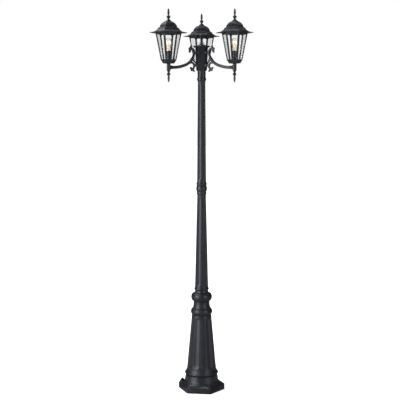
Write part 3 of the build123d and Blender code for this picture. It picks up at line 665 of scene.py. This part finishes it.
class LAMPPOST_OT_stage(bpy.types.Operator):
    """Set up the camera, the pale floor and the soft studio light"""

    bl_idname = "lamppost.stage"
    bl_label = "Stage"

    def execute(self, context):
        scene, stage = context.scene, context.scene.lamp_post_stage
        scene.view_settings.view_transform = "Standard"
        lens = bpy.data.cameras.new("Camera")
        lens.lens, lens.sensor_width = stage.camera_lens, 36.0
        lens.clip_start, lens.clip_end = 0.05, 100.0
        scene.camera = new_object("Camera", lens)
        scene.camera.location = (0, -stage.camera_distance, stage.camera_height)
        scene.camera.rotation_euler = (pi / 2 - stage.camera_tilt, 0, stage.camera_turn)
        self.floor(stage)
        scene.world = self.room(stage)
        self.softbox("Key light", (-3.1, -2.3, 1.75), (0.0, 0.0, 1.3), 1.9, 3.4, stage.key_power)
        self.softbox("Fill light", (2.7, -2.7, 1.75), (0.0, 0.0, 1.3), 1.0, 3.4, stage.fill_power)
        self.softbox("Left top light", (-1.5, 0.8, 4.8), (0.0, 0.0, 1.9), 3.0, 3.0, stage.left_top_power)
        self.softbox("Right top light", (2.6, 1.8, 4.4), (0.1, 0.0, 1.8), 1.4, 1.4, stage.right_top_power)
        return {"FINISHED"}

    def floor(self, stage):
        """Floor that shows white but for a painted soft shade round the foot, where it glows less so its real shadow
        shows, and is dimmer in mirrored light.
        """
        bm = bmesh.new()
        bmesh.ops.create_grid(bm, x_segments=1, y_segments=1, size=30.0)
        floor = mesh_object("floor", bm)
        level = stage.floor_level
        material, net, shader = surface("studio_floor", (level, level, level), 0.9, Specular_IOR_Level=0.1)
        apart = net.outputs("VectorMath", net.place(), operation="LENGTH")["Value"]
        # painted shade: the floor's glow is weaker near the foot, so the floor reads darker round the post
        backdrop_with_painted_shade = net.out("MapRange", apart, 0.1, 1.6, 0.55, 1.0)
        rays = net.outputs("LightPath")
        shown = net.maths("MAXIMUM", rays["Is Camera Ray"], rays["Is Transmission Ray"])
        shown = net.maths("MAXIMUM", shown, rays["Is Glossy Ray"] * 0.1)
        dimmed = level - rays["Is Glossy Ray"] * (0.7 * level)
        net.set(shader, Base_Color=dimmed, Emission_Color=(1, 1, 1, 1), Emission_Strength=shown * backdrop_with_painted_shade)
        floor.data.materials.append(material)

    def room(self, stage):
        """World that is white to the camera and through glass, and dim in glossy surfaces."""
        world = bpy.data.worlds.new("Studio")
        world.use_nodes = True
        net = Tree(world.node_tree)
        rays = net.outputs("LightPath")
        straight = rays["Ray Depth"] - rays["Transmission Depth"] < 1.5
        seen = net.maths("MAXIMUM", rays["Is Camera Ray"], rays["Is Transmission Ray"] * straight)
        spread = rays["Diffuse Depth"] > 0.5
        heading = net.outputs("TexCoord")["Generated"]
        heading = net.outputs("SeparateXYZ", heading)["Y"]
        mirrored = net.out("MapRange", heading, 0.94, 0.995, stage.studio_level, 1.0)
        level = net.maths("MAXIMUM", seen, (1.0 - spread) * mirrored + spread * stage.ambient_level)
        net.set(world.node_tree.nodes["Background"], Color=(1, 1, 1, 1), Strength=level)
        return world

    def softbox(self, name, place, target, width, height, watts):
        """One rectangular soft light that faces its target."""
        lamp = bpy.data.lights.new(name, "AREA")
        lamp.shape, lamp.size, lamp.size_y, lamp.energy = "RECTANGLE", width, height, watts
        obj = new_object(name, lamp)
        obj.visible_camera = obj.visible_transmission = False
        obj.location = place
        obj.rotation_euler = (Vector(target) - Vector(place)).to_track_quat("-Z", "Y").to_euler()


class LAMPPOST_OT_foot(bpy.types.Operator):
    """Make the hexagonal foot with its washers, nuts and stud ends"""

    bl_idname = "lamppost.foot"
    bl_label = "Foot and anchors"

    def execute(self, context):
        fit(settle(cast_copy("foot_casting", "foot"), 24), "post", "foot")
        around, steel = round_tree(), {"finish": "black_steel"}
        anchors = {"Count": 3, "Turn": radians(POST_TURN + 60), **steel}
        washer = turned("anchor_washer_rings", [(6.5, 41), (12, 41), (12, 43), (11.5, 43.5), (6.5, 43.5)], 48)
        fit(grown(moved(washer, shift(ANCHOR_REACH)), around, **anchors), "post", "anchor_washers", **steel)
        nut = moved(self.chamfered_nut("anchor_hex_nuts", 19.0, 6.0, 43.5, 53.5), shift(ANCHOR_REACH))
        fit(grown(nut, around, 30, **anchors), "post", "anchor_nuts", **steel)
        thread = in_metres(Radius=5.9, Depth=0.8, Low=36, High=57.5, Across=ANCHOR_REACH)
        pitch = context.scene.lamp_post_sizes.thread_pitch
        stud = grown("anchor_stud_ends", thread_tree(), 50, **thread, Pitch=pitch, **steel)
        fit(grown(stud, around, 50, **anchors), "post", **steel)
        return {"FINISHED"}

    def chamfered_nut(self, name, across, bore, low, high):
        """Hexagon nut whose corners are turned down at both ends."""
        half, steps, slope = across / 2, 72, 0.45
        face = half * 0.93
        turns = [2 * pi * n / steps for n in range(steps)]
        edges = [(half / cos((a + pi / 6) % (pi / 3) - pi / 6), a) for a in turns]
        rings = [round_ring(bore, low, steps), round_ring(face, low, steps)]
        for z, rise in ((low, slope), (high, -slope)):
            rings.append([(r * cos(a), r * sin(a), z + rise * (r - face)) for r, a in edges])
        return skin(name, rings + [round_ring(face, high, steps), round_ring(bore, high, steps)])


class LAMPPOST_OT_fluted_lengths(bpy.types.Operator):
    """Make the fluted pedestal and the two fluted shafts"""

    bl_idname = "lamppost.fluted_lengths"
    bl_label = "Fluted lengths"

    def execute(self, context):
        sizes, tree = context.scene.lamp_post_sizes, fluted_length_tree()
        flutes = {"Flutes": sizes.flutes, "Depth": sizes.flute_depth, "End_margin": sizes.flute_margin}
        flutes["Turn"] = radians(POST_TURN)
        lengths = {
            "pedestal": (85.6, 57.3, 124, 442, 9.4),
            "lower_shaft": (38.8, 25.3, 608, 1141, 6.3),
            "upper_shaft": (26.3, 21.3, 1227, 1790, 5.1),
        }
        made = {}
        for node, (low_r, high_r, low_z, high_z, wall) in lengths.items():
            shape = in_metres(Low_radius=low_r, High_radius=high_r, Low_height=low_z, High_height=high_z, Wall=wall)
            made[node] = grown(f"{node}_flutes", tree, 22, **shape, **flutes)
        ring = outline(
            [(87.0, 88), (87.0, 92.4), (93.0, 93)],
            arc_to((97.5, 98.5), (93.5, 107.5), 10),
            arc_to((89.4, 116), (86.1, 122)),
            [(85.6, 124), (76.2, 124), (80.7, 88)],
        )
        base = settle(turned("pedestal_ring", ring, 144), 30)
        made["pedestal"] = joined("pedestal_casting", made["pedestal"], base)
        for node, obj in made.items():
            fit(obj, "post", node)
        return {"FINISHED"}


class LAMPPOST_OT_collars(bpy.types.Operator):
    """Turn the collars between the fluted lengths and the neck under the hub"""

    bl_idname = "lamppost.collars"
    bl_label = "Turned collars"

    def execute(self, context):
        collar = outline(
            [(53.6, 442), (53.6, 445), (56.0, 446)],
            arc_to((63.2, 465), (51.2, 486), 12),
            arc_to((48.0, 501), (47.0, 521.5)),
            [(44.8, 522), (44.8, 525), (48.6, 525.5)],
            curve_to((57.4, 534), (60.8, 551), (56.2, 568), (40.5, 577.5)),
            [(38.4, 582), (38.6, 590)],
            arc_to((42.7, 598), (38.6, 606), 10),
            [(38.4, 608), (30, 608), (30, 566), (37.6, 511), (37.6, 424), (47.4, 424), (47.4, 442)],
        )
        fit(settle(turned("pedestal_collar_rings", collar, 144)), "post", "pedestal_collar")

        middle = [(25.3, 1141), (25.2, 1146)]
        for r, z, waist in ((28.3, 1157, (27.4, 1168)), (31.4, 1184, (27.4, 1201)), (30.2, 1214, (26.4, 1221))):
            under, over = ((r - 0.9, (end[1] + z) / 2) for end in (middle[-1], waist))
            middle += curve(middle[-1], under, (r, z), over, waist)[1:]
        middle += [(26.3, 1227), (17, 1227), (17, 1141)]
        fit(settle(turned("mid_collar_beads", middle), 28), "post", "mid_collar")

        neck = outline(
            [(21.3, 1790), (22.0, 1799)],
            curve_to((25.0, 1804.5), (26.2, 1811), (25.2, 1817), (23.2, 1820)),
            [(23.2, 1880), (19.2, 1880), (19.2, 1811), (11, 1790), (11, 1762), (15, 1762), (15, 1790)],
        )
        fit(settle(turned("shaft_neck_tube", neck)), "post", "shaft_neck")
        return {"FINISHED"}


class LAMPPOST_OT_hub(bpy.types.Operator):
    """Make the six-sided hub, its round lid and the ball on top"""

    bl_idname = "lamppost.hub"
    bl_label = "Hub and lid"

    def execute(self, context):
        sizes = context.scene.lamp_post_sizes
        walls = [(23.8, 1858), (27.28, 1866), (31.26, 1991), (24.0, 1991), (24.0, 1866)]
        bore = [round_ring(23.2, z, 30, -24) for z in (1858, 1866)]
        hub = skin("hub_casting", [bore[0], *[hexagon_ring(a, z, 1.4) for a, z in walls], bore[1]])
        fit(soften(hub, sizes.casting_edge / MM, 25), "post", "hub")
        lid = outline(
            [(3, 1986), (23.4, 1986), (23.4, 1991), (44.5, 1991)],
            arc_to((47.5, 1995.25), (44.5, 1999.5), 10),
            curve_to((36.0, 2001.1), (23.75, 2002.8), (12.0, 2003.8), (3, 2004)),
        )
        fit(settle(turned("hub_lid", lid), 32), "post", "hub_cap")
        ball = outline([(3, 2004), (13.5, 2004), (13.5, 2006)], arc_to((8.5, 2013), (7.5, 2028)), [(7.5, 2040.18)])
        ball += swing((0, 2052), 14, -57.6, 90, 22)[1:] + [(0, 2049), (3, 2049)]
        fit(settle(turned("lid_ball", ball, 64), 32), "post", "cap_finial")
        return {"FINISHED"}


class LAMPPOST_OT_arms(bpy.types.Operator):
    """Cast the three scroll arms with their leaves, lugs and sockets"""

    bl_idname = "lamppost.arms"
    bl_label = "Scroll arms"

    def execute(self, context):
        sizes = context.scene.lamp_post_sizes
        bow, bow_r, curl_r, sweep_r = (137.9, 1974.7), 90.6, 22.0, 228.0
        join, turn_in = 190.9, 249.1  # degrees round the bow where the curl and the sweep meet it
        sweep = on_circle(bow, bow_r - sweep_r, turn_in)
        main = swing(on_circle(bow, bow_r - curl_r, join), curl_r, 85, join, 18)
        main += swing(bow, bow_r, join, turn_in, 30)[1:] + swing(sweep, sweep_r, turn_in, 270, 16)[1:]
        main += [(x, sweep[1] - sweep_r) for x in (190, 193, 197, 201, 205, 209, 213)]
        hook = [(x, 0.0, z, 6.3) for x, z in swing((67.5, 1885.5), 18.8, 68, 253, 24)]
        parts = [grown(path_object("arm_rods", self.run(main, sizes.arm_rod / MM), hook), rod_tree())]
        leaves = (  # heart's place and radius, width and tips of its lobes
            ((71.5, 1982.0), 9.4, 16.0, [(66.0, 2003.5), (86.8, 1980.5), (81.0, 1956.5)]),
            ((62.0, 1866.5), 7.8, 13.8, [(77.5, 1878.5), (69.8, 1856.0), (43.5, 1853.0)]),
            ((66.0, 1921.0), 8.8, 9.4, [(39.0, 1906.6)]),
        )
        for heart, heart_r, width, tips in leaves:
            parts.append(self.heart(heart, heart_r))
            parts += [self.lobe(heart, tip, width) for tip in tips]
        for z in (1889.0, 1959.0):
            face = (31.2 + (36.1 - 31.2) * (z - 1858) / 133) * FLAT
            parts.append(self.block("lug_pad", face - 0.4, 36, 14, z, 7.5))
            parts.append(self.block("lug_neck", face, 50.5, 6, z, 5.5))
        socket = turned("arm_socket", [(0, 1857), (10.2, 1857), (11, 1858), (11, 1895), (10.2, 1896), (0, 1896)], 48)
        pattern = joined("arm_casting", *parts, moved(socket, shift(LANTERN_REACH)))
        remesh = pattern.modifiers.new("One casting", "REMESH")
        remesh.mode, remesh.voxel_size = "VOXEL", 0.8 * MM
        smooth = pattern.modifiers.new("Fillets", "SMOOTH")
        smooth.factor, smooth.iterations = 0.5, sizes.arm_blend
        reamer = turned("stem_bore", [(0, 1850), (5.08, 1850), (5.08, 1900), (0, 1900)], 48)
        bore = pattern.modifiers.new("Stem bore", "BOOLEAN")
        bore.operation, bore.solver, bore.object = "DIFFERENCE", "MANIFOLD", moved(reamer, shift(LANTERN_REACH))
        pattern = settle(pattern, 60)
        bpy.data.objects.remove(reamer)
        for head, (heading, _) in HEADS.items():
            arm = moved(new_object(f"arm_casting_{head}", pattern.data.copy()), spin(heading))
            fit(arm, "post", f"arm_{head}")
        bpy.data.objects.remove(pattern)
        return {"FINISHED"}

    def run(self, points, thickest):
        """Path of the main rod, slim at its curl and flared into the lantern's socket."""
        steps = [0.0]
        for a, b in zip(points, points[1:]):
            steps.append(steps[-1] + (Vector(b) - Vector(a)).length)
        path = []
        for (x, z), step in zip(points, steps):
            along, r = step / steps[-1], thickest
            for (low, low_r), (high, high_r) in zip(ARM_SWELL, ARM_SWELL[1:]):
                if low <= along <= high:
                    r *= low_r + (high_r - low_r) * (along - low) / (high - low)
            flare = max(0.0, x - LANTERN_REACH + 34) / 34
            inside = max(0.0, x - LANTERN_REACH + 10)
            path.append((x, 0.0, z, min(r + 5.0 * flare**1.3, 12.5 - 0.35 * inside)))
        return path

    def heart(self, centre, radius):
        """Round cushion that the lobes of a leaf spring from."""
        rim = [(0, LEAF_HALF), (radius - 2.5, 4.0), (radius, 2.0)]
        piece = turned("leaf_heart", [(r, -z) for r, z in rim] + rim[::-1], 32)
        return moved(piece, shift(centre[0], 0, centre[1]) @ spin(90, "X"))

    def lobe(self, root, tip, width):
        """Pointed lobe of a leaf, full in its middle."""
        root, tip = Vector(root), Vector(tip)
        aside = Vector((root.y - tip.y, tip.x - root.x)).normalized() * width / 2
        rings = [[(root.x, 0, root.y)]]
        for along in (n / 16 for n in range(1, 16)):
            swell = 4 * along * (1 - along)
            spot = root.lerp(tip, along)
            thick = LEAF_HALF * (0.3 + 0.7 * swell**0.5)
            side = aside * swell
            rings.append([(spot.x + side.x * x, thick * z, spot.y + side.y * x) for x, z, _ in round_ring(1.0, 0, 20)])
        return skin("leaf_lobe", rings + [[(tip.x, 0, tip.y)]], ends="open")

    def block(self, name, near, far, half, z, rise):
        """Block from near to far along the arm, so far to both sides, and so far up and down from z."""
        rings = [[(near, -half, h), (far, -half, h), (far, half, h), (near, half, h)] for h in (z - rise, z + rise)]
        return skin(name, rings, "capped")


class LAMPPOST_OT_lantern_bodies(bpy.types.Operator):
    """Make each lantern's cup, cage of windows, panes, candle sleeve and lower finial"""

    bl_idname = "lamppost.lantern_bodies"
    bl_label = "Lantern bodies"

    def execute(self, context):
        sizes = context.scene.lamp_post_sizes
        edge = sizes.casting_edge / MM
        low, high = 32.4 * FLAT, CAGE_CORNER * FLAT
        rise = (high - low) / 20  # what the cup's side gains in each millimetre of its height
        cup = [(5.0, 1896), (low - 2, 1896), (low + 2 * rise, 1898), (high, 1916), (high - 3, 1916)]
        cup += [(low + 3.5 * rise - 3, 1899.5), (5.0, 1899.5)]
        fit_heads(soften(six_sided("cup", cup), edge, 25), "lantern_cup", "head", "cup")
        bay = self.window_bay("window_bay", sizes.window_arch / MM, sizes.window_bar / MM)
        cage = soften(grown(bay, round_tree(), Count=6), edge * 0.8, 30)
        fit_heads(cage, "lantern_cage", "head", "cage")
        panes = grown(self.pane("pane"), round_tree(), 20, "pane_glass", Count=6)
        fit_heads(panes, "lantern_panes", "head", "panes", finish="pane_glass")
        sleeve = outline([(11.7, 1899.5), (13, 1899.5), (13, 1965.2)], arc_to((12.35, 1966), (11.7, 1965.2), 6))
        fit_heads(settle(turned("candle", sleeve, 64)), "candle_tube", "head", "candle_sleeve")
        knob = outline(
            [(5, 1857), (10.3, 1857)],
            arc_to((7.6, 1852), (5.9, 1848)),
            [(6.2, 1843.8)],
            curve_to((9.49, 1840.26), (11.0, 1836.8), (9.5, 1833.0), (5.1, 1829.3)),
            curve_to((5.9, 1816.5), (5.3, 1803.5), (2.2, 1792.5)),
            [(0, 1790.5), (0, 1840), (5, 1840)],
        )
        fit_heads(settle(turned("drop", knob, 48), 40), "lower_spear", "head", "lower_finial")
        return {"FINISHED"}

    def half_side(self, z, less=0.0):
        """Half the width of a side at a height, with so much less of a corner radius."""
        return (CAGE_CORNER + CAGE_LEAN * (z - CAGE_LOW) - less) / 2

    def side_point(self, across, z, inset):
        """Point of a leaning side that faces +X, inset from its outside."""
        return (2 * self.half_side(z) * FLAT - inset, across, z)

    def window_bay(self, name, arch, bar):
        """One side of the cage: a leaning frame round a window with rounded upper corners."""
        sill_z, head_z, wall = 1918.0, 2057.0, 4.0
        sill, head = self.half_side(sill_z, bar), self.half_side(head_z, bar)
        window = [(-sill, sill_z), (0, sill_z), (sill, sill_z)]
        window += [(head - (head - sill) * arch / (head_z - sill_z), head_z - arch)]
        corner = (head - 0.6, head_z - arch), (head - arch * 0.36, head_z - arch * 0.29), (head - arch, head_z)
        window += arc(*corner, 6)[1:] + [(0, head_z)]
        window += [(-x, z) for x, z in window[-2:2:-1]]
        edges, openings = [], []
        for inset in (0.0, wall):
            corners = [self.corner_beside(x, z, sill_z, head_z, inset) for x, z in window]
            edges.append([self.side_point(x, z, inset) for x, z in corners])
            openings.append([self.side_point(x, z, inset) for x, z in window])
        bay = skin(name, [edges[0], *openings, edges[1]], ends="open")
        bm = bmesh.new()
        bm.from_mesh(bay.data)
        rims = [e for e in bm.edges if e.is_boundary and abs(e.verts[0].co.z - e.verts[1].co.z) < 1e-6]
        for z in (CAGE_LOW, CAGE_HIGH):
            bmesh.ops.bridge_loops(bm, edges=[e for e in rims if abs(e.verts[0].co.z - z * MM) < 1e-6])
        bmesh.ops.recalc_face_normals(bm, faces=bm.faces)
        bm.to_mesh(bay.data)
        bm.free()
        return moved(bay, spin(30))

    def corner_beside(self, x, z, sill_z, head_z, inset):
        """Point of the side's outer edge that goes with a point of its window."""
        if z <= sill_z:
            height = CAGE_LOW
        elif z >= head_z - 1e-6:
            height = CAGE_HIGH
        else:
            height = CAGE_LOW + (CAGE_HIGH - CAGE_LOW) * (0.04 + 0.92 * (z - sill_z) / (head_z - sill_z))
        return (((x > 0) - (x < 0)) * self.half_side(height, inset / FLAT), height)

    def pane(self, name):
        """Flat glass pane behind one window, leaning with the side."""
        rings = []
        for z in (1916.5, 2060.5):
            half = self.half_side(z, 4 / FLAT) - 3.4
            near, far = self.side_point(half, z, 4.05)[0], self.side_point(half, z, 6.0)[0]
            rings.append([(near, -half, z), (near, half, z), (far, half - 0.6, z), (far, 0.6 - half, z)])
        return moved(skin(name, rings, "capped"), spin(30))


class LAMPPOST_OT_lamps(bpy.types.Operator):
    """Make the lit lamps: glass, screw cap, inner glass post, lead wires and filament"""

    bl_idname = "lamppost.lamps"
    bl_label = "Lamps"

    def execute(self, context):
        fit_heads(self.envelope("envelope"), "lamp_envelope", "lamp", "bulb_glass", finish="lamp_glass")
        thread = in_metres(Radius=6.9, Depth=0.7, Pitch=2.8, Low=1943.5, High=1963)
        thread = grown("lamp_cap", thread_tree(), 60, **thread)
        collar = turned("cap_collar", [(0, 1962.5), (6.6, 1962.5), (8.4, 1966), (8.4, 1967.5), (0, 1967.5)], 48)
        contact = turned("cap_contact", [(0, 1940), (2.6, 1940), (3.2, 1941), (5.9, 1943.6), (0, 1943.6)], 32)
        cap = settle(joined("lamp_caps", thread, collar, contact), 40)
        fit_heads(cap, "lamp_cap", "lamp", "bulb_cap", finish="lamp_cap_metal")
        post = [(0, 1967.4), (4.6, 1967.4), (4.2, 1972), (2.6, 1978), (2.0, 1990), (2.2, 1996), (0, 1997)]
        fit_heads(settle(turned("mount", post, 32), 60), "lamp_mount", "lamp", finish="pane_glass")
        filament = grown(path_object("filament", self.coil(26, 10)), rod_tree(), Around=6)
        fit_heads(filament, "lamp_filament", "lamp", finish="filament_wire")
        lead = [(1.0, 1972), (1.6, 1990), (5.6, 2000), (8.6, 2007)]
        leads = [[(side * x, 0, z, 0.3) for x, z in lead] for side in (-1, 1)]
        fit_heads(grown(path_object("leads", *leads), rod_tree(), Around=8), "lamp_leads", "lamp", finish="zinc_steel")
        return {"FINISHED"}

    def envelope(self, name):
        """Pear-shaped glass, with the lit lamp's glow all round it and painted reflections of the filament, at the
        left and low down, in one attribute.
        """
        shape = [(8.6, 1967), (9.2, 1974), (12.4, 1986), (16.4, 1998), (19.0, 2013), (16.6, 2026), (9.6, 2033.4)]
        outside = curve(*shape, (0, 2035))
        inside = [(max(r - 1.0, 0), z - max(0, n - 30) / 19) for n, (r, z) in enumerate(outside)]
        envelope = settle(turned(name, outside + inside[::-1], 64), 60)
        warmth = envelope.data.attributes.new("warmth", "FLOAT", "POINT")
        for vertex, value in zip(envelope.data.vertices, warmth.data):
            x, _, z = vertex.co / MM
            # glow of the lit lamp all round the glass
            all_round = min(1.0, max(0.0, (z - 1967) / 6)) * min(1.0, max(0.0, (2031 - z) / 14))
            # painted reflection of the filament, along the left side of the glass
            left = max(0.0, 1 - abs(z - 2011) / 14) * max(0.0, -x / 19 - 0.55) * 1.6
            # painted reflection of the filament, a spot low on the glass
            foot = max(0.0, 1 - abs(z - 1976) / 7) * 0.5
            value.value = min(1.0, 0.5 * all_round + left + foot)
        return envelope

    def coil(self, turns, steps):
        """Path of the coiled filament, which swings from lead to lead."""
        path = []
        for n in range(turns * steps + 1):
            along, a = radians(205 - 230 * n / (turns * steps)), 2 * pi * n / steps
            out = 0.8 * cos(a)
            path.append(((9.0 + out) * cos(along), 0.8 * sin(a), 2010 + (6.5 + out) * sin(along), 0.32))
        return path


class LAMPPOST_OT_roofs(bpy.types.Operator):
    """Make the domed six-sided roofs and the spears on top of them"""

    bl_idname = "lamppost.roofs"
    bl_label = "Lantern roofs"

    def execute(self, context):
        sizes, brim = context.scene.lamp_post_sizes, 107.0 * FLAT
        form = outline(
            [(58, 2065), (brim, 2065), (brim, 2068.5)],
            arc_to((66.0, 2075.2), (54.0, 2086.5), 14),
            [(52.0, 2092.0), (43.5, 2096.5)],
            arc_to((37.5, 2112.5), (23.0, 2126.0), 12),
            arc_to((14.0, 2131.0), (8.7, 2138.0)),
            [(0, 2138), (0, 2123), (20.9, 2123)],
            arc_to((34.5, 2111.3), (40.5, 2094.1)),
            [(49.0, 2089.6), (51.0, 2087.0)],
            arc_to((53.5, 2078.5), (58, 2073), 6),
        )
        roof = soften(six_sided("roof", form), sizes.casting_edge / MM, 32)
        fit_heads(roof, "lantern_roof", "roof", "roof")
        spear = outline(
            [(0, 2138), (8.1, 2138)],
            arc_to((5.9, 2142.5), (5.6, 2145.5), 6),
            curve_to((9.72, 2149.96), (11.2, 2154.0), (9.2, 2157.96), (4.4, 2161.5)),
            curve_to((6.1, 2176.5), (4.5, 2192.0), (2.1, 2198.5)),
            [(0, 2200)],
        )
        fit_heads(settle(turned("spear", spear, 48), 40), "roof_spear", "roof", "roof_finial")
        return {"FINISHED"}


class LAMPPOST_OT_inner_fittings(bpy.types.Operator):
    """Give the couplings, stems, nuts, screws and terminal block inside the post their finishes"""

    bl_idname = "lamppost.inner_fittings"
    bl_label = "Inner fittings"

    def execute(self, context):
        for row in frame["record"]["subparts"]:
            node = frame["nodes"][row["node"]]
            if not node.hide_render:
                dress(node, row["material_slot"])
        return {"FINISHED"}


class LAMPPOST_PT_panel(bpy.types.Panel):
    """Sidebar panel with the post's sizes, finishes and steps"""

    bl_idname = "LAMPPOST_PT_panel"
    bl_label = "Lamp Post"
    bl_space_type = "VIEW_3D"
    bl_region_type = "UI"
    bl_category = "Lamp Post"

    def draw(self, context):
        for name, group in GROUPS.items():
            box = self.layout.box()
            for key in group.__annotations__:
                box.prop(getattr(context.scene, name), key)
        for operator in STEPS:
            self.layout.operator(operator.bl_idname)


GROUPS = {
    "lamp_post_sizes": PostSizes,
    "lamp_post_finish": PostFinish,
    "lamp_post_light": PostLight,
    "lamp_post_stage": StageSettings,
}
STEPS = (
    LAMPPOST_OT_stage,
    LAMPPOST_OT_foot,
    LAMPPOST_OT_fluted_lengths,
    LAMPPOST_OT_collars,
    LAMPPOST_OT_hub,
    LAMPPOST_OT_arms,
    LAMPPOST_OT_lantern_bodies,
    LAMPPOST_OT_lamps,
    LAMPPOST_OT_roofs,
    LAMPPOST_OT_inner_fittings,
)


def register():
    for kind in (*GROUPS.values(), *STEPS, LAMPPOST_PT_panel):
        bpy.utils.register_class(kind)
    for name, group in GROUPS.items():
        setattr(bpy.types.Scene, name, PointerProperty(type=group))


def unregister():
    for name in GROUPS:
        delattr(bpy.types.Scene, name)
    for kind in (LAMPPOST_PT_panel, *reversed(STEPS), *reversed(GROUPS.values())):
        bpy.utils.unregister_class(kind)


def main():
    register()
    for step in STEPS:
        group, name = step.bl_idname.split(".")
        getattr(getattr(bpy.ops, group), name)()
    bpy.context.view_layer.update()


if __name__ == "__main__":
    main()
